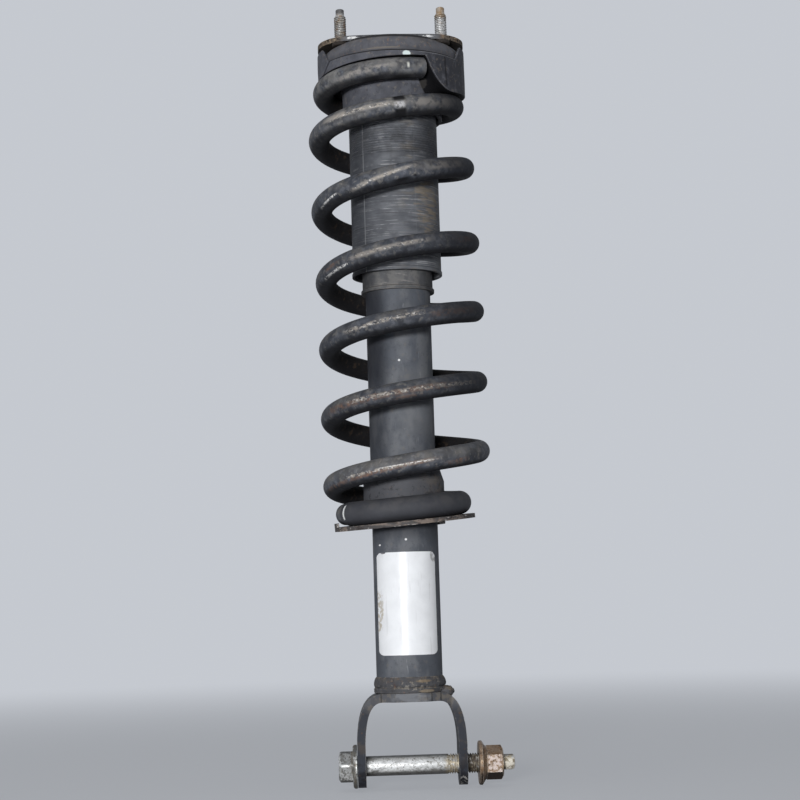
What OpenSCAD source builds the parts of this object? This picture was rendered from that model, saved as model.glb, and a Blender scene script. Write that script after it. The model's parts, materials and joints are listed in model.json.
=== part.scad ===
// Front coil-over strut with a welded fork.
// Every height is counted up from the axis of the clevis bolt, and the whole strut is then
// lowered so that the centre of its upper mounting face lies at the origin.

/* [Fork] */
// Gap between the two legs of the fork
fork_gap = 75; // [66:1:84]
// Thickness of the fork's strap
fork_t = 6.8; // [5:0.1:9]
// Height of the fork's top face over the bolt axis
fork_rise = 58.5; // [54:0.5:66]
// Width of a leg, and the diameter of its round end
leg_w = 34; // [30:1:40]
// Depth of the fork's bridge from front to back
bridge_d = 62; // [58:1:68]
// Width of the flat at the front and back of the bridge
bridge_flat = 24.6; // [18:0.2:36]
// Half the width of the flat on top of the strap, between its two shoulders
shoulder_x = 22; // [16:1:28]
// Height over which a shoulder bends down into its leg
shoulder_h = 40; // [30:1:44]
// Diameter of the ring that locates the tube on the fork
ring_d = 58.5; // [57.5:0.5:66]
// Height of the locating ring
ring_h = 4.7; // [3:0.1:6]
// Height of the weld bead over the locating ring
weld_h = 8.2; // [5:0.1:10]
// Diameter of the weld bead
weld_d = 59; // [57.5:0.5:61.5]

/* [Clevis bolt] */
// Nominal diameter of the clevis bolt
bolt_d = 16; // [12:1:17]
// Clearance on diameter between the bolt and the fork's holes
bolt_play = 0.6; // [0.3:0.1:1.2]
// Width across the flats of the bolt head and of the nut
bolt_af = 24; // [22:1:27]
// Height of the bolt's hexagon
head_h = 11.5; // [8:0.5:13]
// Turn of the bolt head's hexagon about the bolt
head_turn = 22; // [0:1:59]
// Diameter of the bolt's flange
bolt_flange_d = 35; // [31:0.5:36]
// Thickness of the bolt's flange
bolt_flange_t = 3.5; // [2.5:0.5:5]
// Length of the bolt's thread
thread_len = 43.9; // [38:0.1:60]
// Length of the pilot point beyond the thread
point_len = 9.5; // [6:0.5:13]
// Diameter of the pilot point
point_d = 12.4; // [8:0.2:13]
// Distance that the nut's washer is backed off from the fork
nut_back_off = 9.5; // [4:0.1:12]
// Diameter of the nut's captive washer
washer_d = 35.5; // [31:0.5:37]
// Thickness of the nut's captive washer
washer_t = 6; // [3:0.5:7]
// Height of the nut's hexagon
nut_h = 13.9; // [10:0.1:18]
// Radial clearance of the nut and its washer on the thread
thread_play = 0.05; // [0.02:0.01:0.1]

/* [Damper] */
// Outside diameter of the damper tube
tube_d = 54; // [52:0.5:56]
// Wall of the damper tube
tube_wall = 2.5; // [2:0.1:3]
// Length of the damper tube
tube_len = 353.5; // [340:0.5:365]
// Radius of the opening in the tube's rolled lip
lip_r = 19.5; // [16:0.5:21]
// Thickness of the tube's rolled lip
lip_t = 3; // [2:0.25:4]
// Diameter of the piston rod
rod_d = 18; // [14:0.5:20]
// Radial running clearance of the rod in its guide and seal
rod_play = 0.04; // [0.02:0.01:0.08]
// Bore of the inner cylinder
bore_d = 35; // [32:0.5:37]
// Wall of the inner cylinder
cylinder_wall = 1.6; // [1.2:0.1:2.2]
// Radial running clearance of the piston band in the cylinder
band_play = 0.04; // [0.02:0.01:0.08]
// Height of the rod guide
guide_h = 18; // [14:0.5:22]
// Length of the rod guide's spigot in the inner cylinder
spigot_h = 8; // [5:0.5:12]
// Height of the oil seal
seal_h = 5; // [3:0.5:7]
// Height of the base valve's foot
valve_foot_h = 10; // [7:0.5:14]
// Height of the base valve's head in the inner cylinder
valve_head_h = 10; // [7:0.5:14]
// Thickness of the base cap
base_cap_t = 5.5; // [4:0.5:7]
// Length of the piston
piston_h = 20; // [16:0.5:26]
// Distance between the piston and the rebound stop
stop_gap = 12; // [6:0.5:24]
// Height of the rebound stop
stop_h = 14; // [8:0.5:20]

/* [Striker cap and dust shield] */
// Diameter of the striker cap
striker_d = 58.5; // [58:0.5:64]
// Height of the striker cap
striker_h = 28.4; // [22:0.2:36]
// Thickness of the striker cap's top
striker_t = 3.4; // [2:0.2:4]
// Outside diameter of the dust shield
shield_d = 74; // [71:0.5:75]
// Wall of the dust shield
shield_wall = 1.4; // [1:0.1:2]
// Length of the dust shield
shield_len = 187; // [170:0.5:200]
// Number of fine grooves near the top of the dust shield
groove_n = 13; // [6:1:18]
// Spacing of the grooves
groove_pitch = 2; // [1.6:0.1:2.6]

/* [Lower spring seat] */
// Height of the seat's upper face over the fork, on the strut's axis
seat_rise = 139.65; // [130:0.05:150]
// Diameter of the seat
seat_d = 116; // [114:1:122]
// Thickness of the seat
seat_t = 3.5; // [2.5:0.1:4.5]
// Tilt of the seat
seat_tilt = 5.44; // [2:0.02:6]
// Azimuth of the seat's low side, from the right and counted to the back
seat_low = -144; // [-180:1:-90]
// Outside diameter of the seat's drawn neck
neck_d = 66.7; // [63:0.1:72]
// Height of the drawn neck over the seat's upper face
neck_h = 40; // [32:0.5:50]

/* [Coil spring] */
// Diameter of the spring's wire
wire_d = 17.5; // [15:0.1:18]
// Turns of the spring, its closed ends included
turns = 7.29; // [7:0.01:7.6]
// Height of the spring over the seat, on the strut's axis
spring_h = 376.85; // [360:0.05:390]
// Mean radius of the active coils
coil_r = 60.75; // [59:0.25:62]
// Mean radius of the closed coil on the lower seat
coil_lo_r = 47.6; // [46:0.1:50]
// Mean radius of the closed coil under the upper isolator
coil_hi_r = 54.75; // [53.5:0.25:57]
// Rise per turn of the upper closed coil
pitch_hi = 22; // [18:0.5:24]
// Shift of the lower closed coil towards -X
bow_seat = 2.1; // [0:0.1:2.4]
// Bow of the spring towards +X in its lower active coils
bow_lo = 2.6; // [0:0.1:3]
// Bow of the spring towards -X in its upper coils
bow_hi = 3; // [0:0.1:3.2]
// Height by which all active coils have set
set_all = 0.8; // [0:0.1:1]
// Further set at the back of the third coil from below
set_3 = 1.2; // [0:0.1:1.5]
// Further set at the back of the fourth coil
set_4 = 3.4; // [0:0.1:4]
// Further set at the back of the fifth coil
set_5 = 1.9; // [0:0.1:2.5]
// Height by which the sixth coil stands high at its right and back
lift_6 = 5.4; // [0:0.1:6]
// Height by which the seventh coil stands high at its right
lift_7 = 2.6; // [0:0.1:3]
// Azimuth at which the lower cut end lies
start_deg = -165; // [-175:1:-155]
// Wall of the rubber sleeve on the lower closed coil
sleeve_wall = 0.7; // [0.5:0.1:1]
// Turns of the coil that the sleeve covers
sleeve_turns = 0.78; // [0.5:0.02:0.9]

/* [Upper mount] */
// Thickness of the mount plate
plate_t = 4; // [3:0.25:6]
// Diameter of the mount plate
plate_d = 123; // [120:0.5:130]
// Distance from the axis to the plate's front edge
plate_front = 34.5; // [34:0.5:44]
// Radius of the plate's two front corners
plate_round = 30; // [20:0.5:30]
// Diameter of the hole in the middle of the plate
plate_bore = 52; // [50:0.5:54]
// Pitch circle of the three studs
stud_pcd = 97; // [94:0.5:98]
// Nominal diameter of the studs
stud_d = 10; // [8:0.5:12]
// Height of the studs over the mounting face
stud_h = 25; // [18:0.5:34]
// Diameter of the steel cup's rolled rim
cup_d = 120; // [118:0.5:121]
// Height of the steel cup between the isolator and the plate
cup_h = 18.5; // [13:0.25:20]
// Sheet thickness of the steel cup
cup_t = 3; // [2.5:0.1:3.5]
// Depth of the bushing housing under the plate
housing_h = 30; // [26:0.5:34]
// Outside diameter of the bushing housing
housing_d = 62; // [60:0.5:63]
// Outside diameter of the upper isolator
iso_d = 124; // [122:0.5:125]
// Rubber over the wire at the highest point of the spring
iso_over = 2.5; // [2:0.05:8]
// Outside diameter of the isolator's neck
iso_neck_d = 84; // [82:0.5:85]
// Length of the isolator under the cup
iso_len = 44; // [42:0.5:50]
// Height of the isolator's two side ears over the cup's rim
ear_h = 14; // [7:0.5:14]
// Diameter of the bushing's inner sleeve
sleeve_d = 24; // [21:0.5:28]
// Diameter of the rod's threaded end
rod_end_d = 14; // [10:0.5:14]
// Diameter of the rod's upper washer
top_washer_d = 44; // [38:0.5:47]
// Thickness of the rod's washers
rod_washer_t = 3; // [2:0.25:4]
// Width across the flats of the rod nut
rod_nut_af = 21; // [19:0.5:24]
// Height of the rod nut
rod_nut_h = 8.5; // [8:0.5:13]
// Length of the jounce bumper
bumper_len = 45; // [35:0.5:60]
// Diameter of the jounce bumper
bumper_d = 56; // [50:0.5:60]

/* [Label] */
// Height of the blank label
label_h = 82.7; // [60:0.1:95]
// Height of the label's lower edge over the fork
label_rise = 30.3; // [22:0.1:40]
// Thickness of the label
label_t = 0.3; // [0.2:0.05:0.5]

/* [Hidden] */
$fn = 72;
eps = 0.01;
seat_gap = 0.05;   // between pieces of one body that seat on each other
face_gap = 0.3;    // between pieces that move on each other

// Heights from the fork up
z_fork = fork_rise;
z_tube_top = z_fork + tube_len;
z_seal = z_tube_top - lip_t - seal_h;
z_guide = z_seal - guide_h;
z_valve = z_fork + base_cap_t;
z_striker_top = z_tube_top + striker_t;
z_seat = z_fork + seat_rise;

// Heights of the upper mount
z_wire_top = z_seat + spring_h;
z_iso = z_wire_top + iso_over;
z_plate = z_iso + cup_h;
z_face = z_plate + plate_t;
z_housing = z_plate - housing_h;
z_shoulder = z_housing - rod_washer_t + 0.5;
z_sleeve_top = z_plate - 1.5;
z_nut = z_sleeve_top + rod_washer_t;
z_rod_end = z_nut + rod_nut_h + 2;
z_bumper = z_housing - bumper_len - seat_gap;
z_shield_top = z_plate - cup_t - 4.5;
z_shield = z_shield_top - shield_len;

// Heights of the piston, which hangs its rebound stop on the guide at full extension
z_stop = z_guide - spigot_h - face_gap - stop_h;
z_piston = z_stop - stop_gap - piston_h;
piston_pin_d = rod_d * 2 / 3;
piston_nut_h = 10;

// Across the fork
x_in = fork_gap / 2;
x_out = x_in + fork_t;
x_washer = x_out + nut_back_off;
x_nut = x_washer + washer_t;
x_thread_end = x_nut + nut_h;

tube_r = tube_d / 2;
tube_in = tube_r - tube_wall;
rod_r = rod_d / 2;
cyl_r = bore_d / 2;
wire_r = wire_d / 2;

// ---- Helpers

module from_bolt_axis() translate([0, 0, -z_face]) children();

// A ring between two radii, from z0 up by h
module ring(r0, r1, z0, h) {
    translate([0, 0, z0]) difference() {
        cylinder(r = r1, h = h);
        translate([0, 0, -1]) cylinder(r = r0, h = h + 2);
    }
}

// A revolved profile of [radius, height] points
module turned(points) rotate_extrude() polygon(points);

function smooth(a, b, t) = let (u = min(1, max(0, (t - a) / (b - a)))) u * u * (3 - 2 * u);

function reversed(list) = [for (i = [len(list) - 1:-1:0]) list[i]];

// Faces of a tube of rings of n points: r0 is its first ring, m the number of rings
function tube_faces(r0, m, n, flip = false) = [
    for (i = [0:m - 2], k = [0:n - 1])
        let (a = (r0 + i) * n + k, b = (r0 + i) * n + (k + 1) % n, c = b + n, d = a + n)
        each (flip ? [[a, c, d], [a, b, c]] : [[a, d, c], [a, c, b]])
];

// ---- The spring's line

lie = 0.46;              // turns of the lower coil that lie along the tilted seat
lo_b = 1.20;            // where the active pitch begins
hi_a = turns - 1.25;    // where the active pitch ends
hi_b = turns - 0.35;    // start of the constant pitch at the upper end

// Wire centre over the seat on the strut's axis, and the seat's own fall and rise along the lower coil
z_lie = z_seat + (wire_r + sleeve_wall + face_gap) / cos(seat_tilt);
lie_rise = coil_lo_r * tan(seat_tilt);
lie_turn = seat_low - start_deg;
lie_slope = 2 * PI * lie_rise * sin(360 * lie - lie_turn);
pitch = (z_wire_top - wire_r - z_lie + lie_rise * cos(360 * lie - lie_turn)
    - lie_slope * (lo_b - lie) / 2 - pitch_hi * (turns - (hi_a + hi_b) / 2))
    / ((hi_a + hi_b - lie - lo_b) / 2);

// Rise of a line whose slope grows evenly from p to q between a and b, up to t
function ramp_rise(a, b, p, q, t) = let (u = min(b, max(a, t)) - a) p * u + (q - p) * u * u / (2 * (b - a));

// A swell that grows from turn a to b and dies away from c to d
function swell(a, b, c, d, t) = smooth(a, b, t) - smooth(c, d, t);

// What a used spring's coils stand off their even winding
function settled(t) = -set_all * swell(0.9, 1.9, 6.6, 7, t) - set_3 * swell(2.2, 2.7, 2.7, 3.2, t)
    - set_4 * swell(3.45, 3.85, 3.85, 4.25, t) - set_5 * swell(4.28, 4.74, 4.74, 5.2, t)
    + lift_6 * swell(5.1, 5.52, 5.55, 6.25, t) + lift_7 * swell(6.22, 6.45, 6.5, 7, t);

function wire_z(t) = z_lie - lie_rise * cos(360 * min(t, lie) - lie_turn)
    + ramp_rise(lie, lo_b, lie_slope, pitch, t)
    + pitch * (min(hi_a, max(lo_b, t)) - lo_b)
    + ramp_rise(hi_a, hi_b, pitch, pitch_hi, t)
    + pitch_hi * (max(hi_b, t) - hi_b)
    + settled(t);

function wire_bow(t) = (bow_seat + bow_lo) * smooth(0.4, 1.2, t) - bow_seat - (bow_lo + bow_hi) * smooth(2.6, 6.6, t);

function coil_radius(t) = coil_lo_r + (coil_r - coil_lo_r) * smooth(0.45, 1.1, t)
    - (coil_r - coil_hi_r) * smooth(turns - 1.5, turns - 0.85, t);

function wire_at(t) = let (a = start_deg + 360 * t)
    [wire_bow(t) + coil_radius(t) * cos(a), coil_radius(t) * sin(a), wire_z(t)];

function wire_ring(t, r, n) = let (
    a = start_deg + 360 * t,
    step = wire_at(t + 0.002) - wire_at(t - 0.002),
    along = step / norm(step),
    out0 = [cos(a), sin(a), 0],
    out1 = out0 - (out0 * along) * along,
    out = out1 / norm(out1),
    up = cross(along, out)
) [for (k = [0:n - 1]) wire_at(t) + r * (cos(360 * k / n) * out + sin(360 * k / n) * up)];

coil_rings = 30;    // rings of points in a turn
coil_sides = 10;    // sides of the wire

// ---- Fork and its bolt

shoulder_n = 14;    // steps along each shoulder

// The strap's outer line over its right shoulder, for u from 0 to 1, moved inward along its normal
function shoulder(u, inward) = let (
    p0 = [shoulder_x, fork_rise],
    p1 = [x_out - 7.3, fork_rise],
    p2 = [x_out - 0.8, fork_rise - 0.35 * shoulder_h],
    p3 = [x_out, fork_rise - shoulder_h],
    v = 1 - u,
    p = v * v * v * p0 + 3 * u * v * v * p1 + 3 * u * u * v * p2 + u * u * u * p3,
    d = v * v * (p1 - p0) + 2 * u * v * (p2 - p1) + u * u * (p3 - p2)
) [p[0] + inward * d[1] / norm(d), p[1] - inward * d[0] / norm(d)];

module u_profile() {
    half = concat(
        [for (i = [0:shoulder_n]) shoulder(i / shoulder_n, 0)], [[x_out, -leg_w], [x_in, -leg_w]],
        [for (i = [shoulder_n:-1:0]) shoulder(i / shoulder_n, fork_t)]
    );
    polygon(concat(half, [for (p = reversed(half)) [-p[0], p[1]]]));
}

module bridge_outline() {
    f = bridge_flat / 2;
    d = bridge_d / 2;
    w = leg_w / 2;
    c = f + (d - w) * 1.45;
    polygon([
        [-f, -d], [f, -d], [c, -w], [x_out + 1, -w], [x_out + 1, w], [c, w],
        [f, d], [-f, d], [-c, w], [-x_out - 1, w], [-x_out - 1, -w], [-c, -w]
    ]);
}

module leg_outline() {
    circle(d = leg_w);
    translate([-bridge_d / 2, 0]) square([bridge_d, fork_rise + 1]);
}

module clevis_fork() color("#2b2b2d") from_bolt_axis() {
    difference() {
        intersection() {
            rotate([90, 0, 0]) linear_extrude(height = bridge_d, center = true) u_profile();
            translate([0, 0, -leg_w]) linear_extrude(height = leg_w + fork_rise + 1) bridge_outline();
            rotate([90, 0, 90]) linear_extrude(height = 2 * x_out + 2, center = true) leg_outline();
        }
        rotate([0, 90, 0]) cylinder(d = bolt_d + bolt_play, h = 2 * x_out + 4, center = true);
    }
}

module fork_ring() color("#2f2d2b") from_bolt_axis()
    turned([
        [tube_r + seat_gap, z_fork], [ring_d / 2 - 0.6, z_fork], [ring_d / 2, z_fork + 0.6],
        [ring_d / 2, z_fork + ring_h - 1], [ring_d / 2 - 1, z_fork + ring_h], [tube_r + seat_gap, z_fork + ring_h]
    ]);

module fork_weld() color("#3a332c") from_bolt_axis() {
    z0 = z_fork + ring_h;
    w = weld_d / 2 - tube_r;
    turned([
        [tube_r + seat_gap, z0], [tube_r + w * 0.8, z0], [tube_r + w, z0 + weld_h * 0.12], [tube_r + w, z0 + weld_h * 0.38],
        [tube_r + w * 0.86, z0 + weld_h * 0.62], [tube_r + w * 0.5, z0 + weld_h * 0.86], [tube_r + seat_gap, z0 + weld_h]
    ]);
}

module clevis_bolt() color("#a9a8a2") from_bolt_axis() rotate([0, 90, 0]) {
    x0 = -x_out - face_gap;
    chamfer = 1.6;
    difference() {
        translate([0, 0, x0 - bolt_flange_t - head_h]) rotate([0, 0, head_turn])
            cylinder(d = bolt_af / cos(30), h = head_h + eps, $fn = 6);
        // The crown of the hexagon is turned to a shallow cone
        difference() {
            translate([0, 0, x0 - bolt_flange_t - head_h - 1]) cylinder(d = bolt_af * 1.3, h = chamfer + 1);
            translate([0, 0, x0 - bolt_flange_t - head_h - 1])
                cylinder(r1 = bolt_af / 2 - 2.8, r2 = bolt_af / 2 + 1.8, h = chamfer + 1);
        }
    }
    turned_x([
        [0, x0 - bolt_flange_t], [bolt_flange_d / 2 - 2, x0 - bolt_flange_t], [bolt_flange_d / 2, x0 - bolt_flange_t * 0.55],
        [bolt_flange_d / 2, x0], [bolt_d / 2, x0],
        // A shallow run-out where the thread begins
        [bolt_d / 2, x_thread_end - thread_len - 1], [bolt_d / 2 - 0.3, x_thread_end - thread_len - 0.5],
        [bolt_d / 2 - 0.3, x_thread_end - thread_len], [bolt_d / 2, x_thread_end - thread_len + 0.5], [bolt_d / 2, x_thread_end - 1.2],
        [bolt_d / 2 - 1.2, x_thread_end], [point_d / 2, x_thread_end],
        [point_d / 2, x_thread_end + point_len - 2], [point_d / 2 - 2, x_thread_end + point_len], [0, x_thread_end + point_len]
    ]);
}

// A profile of [radius, position] points revolved about the bolt's own axis
module turned_x(points) rotate_extrude() polygon(points);

module nut_washer() color("#8d7a58") from_bolt_axis() rotate([0, 90, 0]) {
    r0 = bolt_d / 2 + thread_play + 0.15;
    turned_x([
        [r0, x_washer], [washer_d / 2 - 0.6, x_washer], [washer_d / 2, x_washer + 0.8],
        [washer_d / 2, x_washer + washer_t * 0.45], [washer_d / 2 - 3.6, x_washer + washer_t - 1], [washer_d / 2 - 4.6, x_washer + washer_t],
        [r0, x_washer + washer_t]
    ]);
}

module clevis_nut() color("#9a7f4a") from_bolt_axis() rotate([0, 90, 0]) {
    chamfer = 1.6;
    x0 = x_nut + face_gap;
    h = nut_h - face_gap;
    difference() {
        translate([0, 0, x0]) cylinder(d = bolt_af / cos(30), h = h, $fn = 6);
        difference() {
            translate([0, 0, x0 + h - chamfer]) cylinder(d = bolt_af * 1.3, h = chamfer + 1);
            translate([0, 0, x0 + h - chamfer])
                cylinder(r1 = bolt_af / 2 + 1.8, r2 = bolt_af / 2 - 2.8, h = chamfer + 1);
        }
        translate([0, 0, x0 - 1]) cylinder(r = bolt_d / 2 + thread_play, h = h + 2);
    }
}

// ---- Damper

module damper_tube() color("#26272a") from_bolt_axis()
    turned([
        [tube_in, z_fork], [tube_r, z_fork], [tube_r, z_tube_top - 2], [tube_r - 2, z_tube_top],
        [lip_r, z_tube_top], [lip_r, z_tube_top - lip_t], [tube_in, z_tube_top - lip_t]
    ]);

module blank_label() color("#f2f3f5") from_bolt_axis() {
    z0 = z_fork + label_rise;
    x0 = -(tube_r + label_t) * sin(63);
    x1 = (tube_r + label_t) * sin(57);
    c = 4;
    intersection() {
        ring(tube_r + seat_gap, tube_r + label_t, z0, label_h);
        rotate([90, 0, 0]) linear_extrude(height = tube_r + 5) {
            translate([x0 + c, z0]) square([x1 - x0 - 2 * c, label_h]);
            translate([x0, z0 + c]) square([x1 - x0, label_h - 2 * c]);
            for (x = [x0 + c, x1 - c], z = [z0 + c, z0 + label_h - c]) translate([x, z]) circle(r = c);
        }
    }
}

module base_cap() color("#5d5f63") from_bolt_axis()
    turned([
        [0, z_fork + 2], [tube_in - 6, z_fork + 2], [tube_in - 4, z_fork], [tube_in - seat_gap, z_fork],
        [tube_in - seat_gap, z_fork + base_cap_t], [0, z_fork + base_cap_t]
    ]);

module base_valve() color("#8b8d90") from_bolt_axis() {
    difference() {
        turned([
            [0, z_valve + seat_gap], [cyl_r + cylinder_wall + 3, z_valve + seat_gap],
            [cyl_r + cylinder_wall + 3, z_valve + valve_foot_h * 0.6],
            [cyl_r + cylinder_wall, z_valve + valve_foot_h], [cyl_r - seat_gap, z_valve + valve_foot_h],
            [cyl_r - seat_gap, z_valve + valve_foot_h + valve_head_h], [0, z_valve + valve_foot_h + valve_head_h]
        ]);
        // Oil passages under the foot and through the head
        for (a = [0:60:300]) rotate([0, 0, a]) {
            translate([0, -2, z_valve - 1]) cube([bore_d, 4, valve_foot_h * 0.4 + 1]);
            translate([cyl_r * 0.6, 0, z_valve]) cylinder(d = 3, h = valve_foot_h + valve_head_h + 1);
        }
    }
}

module inner_cylinder() color("#9a9ca0") from_bolt_axis()
    ring(cyl_r, cyl_r + cylinder_wall, z_valve + valve_foot_h + seat_gap, z_guide - z_valve - valve_foot_h - 2 * seat_gap);

module rod_guide() color("#77797c") from_bolt_axis()
    turned([
        [rod_r + rod_play, z_guide - spigot_h], [cyl_r - seat_gap, z_guide - spigot_h], [cyl_r - seat_gap, z_guide],
        [cyl_r + cylinder_wall + 1, z_guide], [tube_in - seat_gap, z_guide + 5], [tube_in - seat_gap, z_seal - seat_gap],
        [rod_r + 3, z_seal - seat_gap], [rod_r + rod_play, z_seal - 3]
    ]);

module oil_seal() color("#1c1c1c") from_bolt_axis()
    turned([
        [rod_r + rod_play, z_seal + 1], [rod_r + 2, z_seal], [tube_in - seat_gap, z_seal],
        [tube_in - seat_gap, z_seal + seal_h - seat_gap], [lip_r - 1, z_seal + seal_h - seat_gap],
        [lip_r - 2, z_tube_top - 0.5], [rod_r + 3, z_tube_top - 0.5], [rod_r + rod_play, z_seal + 2.5]
    ]);

module piston_rod() color("#c9cbcd") from_bolt_axis()
    turned([
        [0, z_piston - piston_nut_h - 3], [piston_pin_d / 2 - 1, z_piston - piston_nut_h - 3],
        [piston_pin_d / 2, z_piston - piston_nut_h - 2], [piston_pin_d / 2, z_piston + piston_h],
        [rod_r, z_piston + piston_h], [rod_r, z_shoulder - 1], [rod_r - 0.5, z_shoulder],
        [rod_end_d / 2, z_shoulder], [rod_end_d / 2, z_rod_end - 1.5], [rod_end_d / 2 - 1.5, z_rod_end], [0, z_rod_end]
    ]);

module rebound_stop() color("#303032") from_bolt_axis()
    turned([
        [rod_r + seat_gap, z_stop], [cyl_r - 3, z_stop], [cyl_r - 3, z_stop + stop_h * 0.6],
        [cyl_r - 4.5, z_stop + stop_h], [rod_r + seat_gap, z_stop + stop_h]
    ]);

module piston() color("#8f9194") from_bolt_axis() {
    r0 = piston_pin_d / 2 + seat_gap;
    g = 4;
    difference() {
        turned([
            [r0, z_piston], [cyl_r - 1.6, z_piston], [cyl_r - 0.6, z_piston + 1], [cyl_r - 0.6, z_piston + g],
            [cyl_r - 1.4, z_piston + g], [cyl_r - 1.4, z_piston + piston_h - g], [cyl_r - 0.6, z_piston + piston_h - g],
            [cyl_r - 0.6, z_piston + piston_h - 1], [cyl_r - 1.6, z_piston + piston_h - seat_gap], [r0, z_piston + piston_h - seat_gap]
        ]);
        for (a = [0:45:315]) rotate([0, 0, a])
            translate([(cyl_r + piston_pin_d / 2) / 2, 0, z_piston - 1]) cylinder(d = 3, h = piston_h + 2);
    }
}

module piston_band() color("#3b3b3d") from_bolt_axis()
    ring(cyl_r - 1.4 + 0.02, cyl_r - band_play, z_piston + 4 + seat_gap, piston_h - 8 - 2 * seat_gap);

module piston_nut() color("#6f7174") from_bolt_axis()
    difference() {
        translate([0, 0, z_piston - piston_nut_h - seat_gap]) cylinder(d = 19 / cos(30), h = piston_nut_h, $fn = 6);
        translate([0, 0, z_piston - piston_nut_h - 2]) cylinder(d = piston_pin_d + 2 * seat_gap, h = piston_nut_h + 4);
    }

module striker_cap() color("#3c3c3c") from_bolt_axis() {
    r = striker_d / 2;
    z0 = z_striker_top - striker_h;
    difference() {
        turned([
            [tube_r + seat_gap, z0], [r + 1.25, z0], [r + 1.25, z0 + 2.4], [r, z0 + 3.6], [r, z_striker_top - 2.5],
            [r - 2.5, z_striker_top], [rod_r + 2, z_striker_top], [rod_r + 2, z_tube_top + seat_gap], [tube_r + seat_gap, z_tube_top + seat_gap]
        ]);
        // Shallow vents across the top, where the jounce bumper lands
        for (a = [0:60:300]) rotate([0, 0, a]) translate([rod_r + 1, -1.5, z_striker_top - 1.4]) cube([r, 3, 2]);
    }
}

// ---- Spring, its seats and its rubber

// Tilts a piece that lies on the seat's upper face
module tilted()
    translate([0, 0, z_seat]) rotate([0, 0, seat_low]) rotate([0, seat_tilt, 0]) rotate([0, 0, -seat_low]) children();

module lower_spring_seat() color("#4a3a30") from_bolt_axis() {
    r = neck_d / 2;
    difference() {
        union() {
            tilted() translate([0, 0, -seat_t]) cylinder(d = seat_d, h = seat_t);
            // Upturned stop where the spring's lower end lies
            tilted() translate([0, 0, -seat_t / 2])
                rotate_extrude(angle = 32, start = 164) translate([seat_d / 2 - 1.6, 0]) square([1.6, seat_t / 2 + 3.2]);
            turned([
                [0, z_seat - seat_t], [r, z_seat - seat_t], [r, z_seat + neck_h - 9], [tube_r + seat_t, z_seat + neck_h], [0, z_seat + neck_h]
            ]);
        }
        turned([
            [0, z_seat - 30], [r - seat_t, z_seat - 30], [r - seat_t, z_seat + neck_h - 10.4],
            [tube_r + seat_gap, z_seat + neck_h - 3], [tube_r + seat_gap, z_seat + neck_h + 1], [0, z_seat + neck_h + 1]
        ]);
    }
}

module seat_weld() color("#3a332c") from_bolt_axis() {
    z0 = z_seat + neck_h;
    turned([
        [tube_r + seat_gap, z0], [tube_r + seat_t, z0], [tube_r + seat_t - 0.4, z0 + 1.6],
        [tube_r + 1.6, z0 + 3.6], [tube_r + seat_gap, z0 + 4.6]
    ]);
}

module spring_sleeve() color("#1f1f20") from_bolt_axis() {
    // Its rings stand at the same turns as the wire's own
    step = turns / round(coil_rings * turns);
    m = floor(sleeve_turns / step);
    n = coil_sides;
    r0 = wire_r + face_gap - 0.05;
    r1 = wire_r + face_gap - 0.05 + sleeve_wall;
    outer = [for (i = [1:m]) each wire_ring(i * step, r1, n)];
    inner = [for (i = [1:m]) each wire_ring(i * step, r0, n)];
    last = (m - 1) * n;
    polyhedron(
        points = concat(outer, inner),
        faces = concat(
            tube_faces(0, m, n),
            tube_faces(m, m, n, true),
            [for (k = [0:n - 1]) let (a = k, b = (k + 1) % n, c = m * n + b, d = m * n + k) each [[a, b, c], [a, c, d]]],
            [for (k = [0:n - 1]) let (a = last + k, b = last + (k + 1) % n, c = m * n + b, d = m * n + a) each [[a, c, b], [a, d, c]]]
        )
    );
}

module coil_spring() color("#55514c") from_bolt_axis() {
    m = round(coil_rings * turns) + 1;
    n = coil_sides;
    points = [for (i = [0:m - 1]) each wire_ring(i * turns / (m - 1), wire_r, n)];
    line = [for (i = [0:2 * (m - 1)]) wire_at(i * turns / (2 * (m - 1)))];
    gaps = [for (i = [0:len(line) - 1]) for (j = [i + coil_rings:1:len(line) - 1]) norm(line[i] - line[j]) - wire_d];
    echo(spring_least_gap_to_itself_mm = min(gaps), active_pitch_mm = pitch);
    polyhedron(
        points = points,
        faces = concat(
            tube_faces(0, m, n),
            [for (k = [1:n - 2]) [0, k, k + 1]],
            [for (k = [1:n - 2]) [(m - 1) * n, (m - 1) * n + k + 1, (m - 1) * n + k]]
        )
    );
}

// Degrees before the spring's upper cut end at which the isolator's sections stand, and how far each
// has climbed back from the low turn to the high one, beside the cut end
iso_back = concat([356.5, 353, 349], [for (i = [46:-1:0]) i * 7.5]);
iso_climb = concat([1, 0.72, 0.36], [for (i = [46:-1:0]) 0]);

// Share of the ears' height at an azimuth: full at the two sides, none at the front and back
function ear_share(a) = let (d = min(abs(a % 180), 180 - abs(a % 180))) 1 - smooth(14, 27, d);

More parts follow.
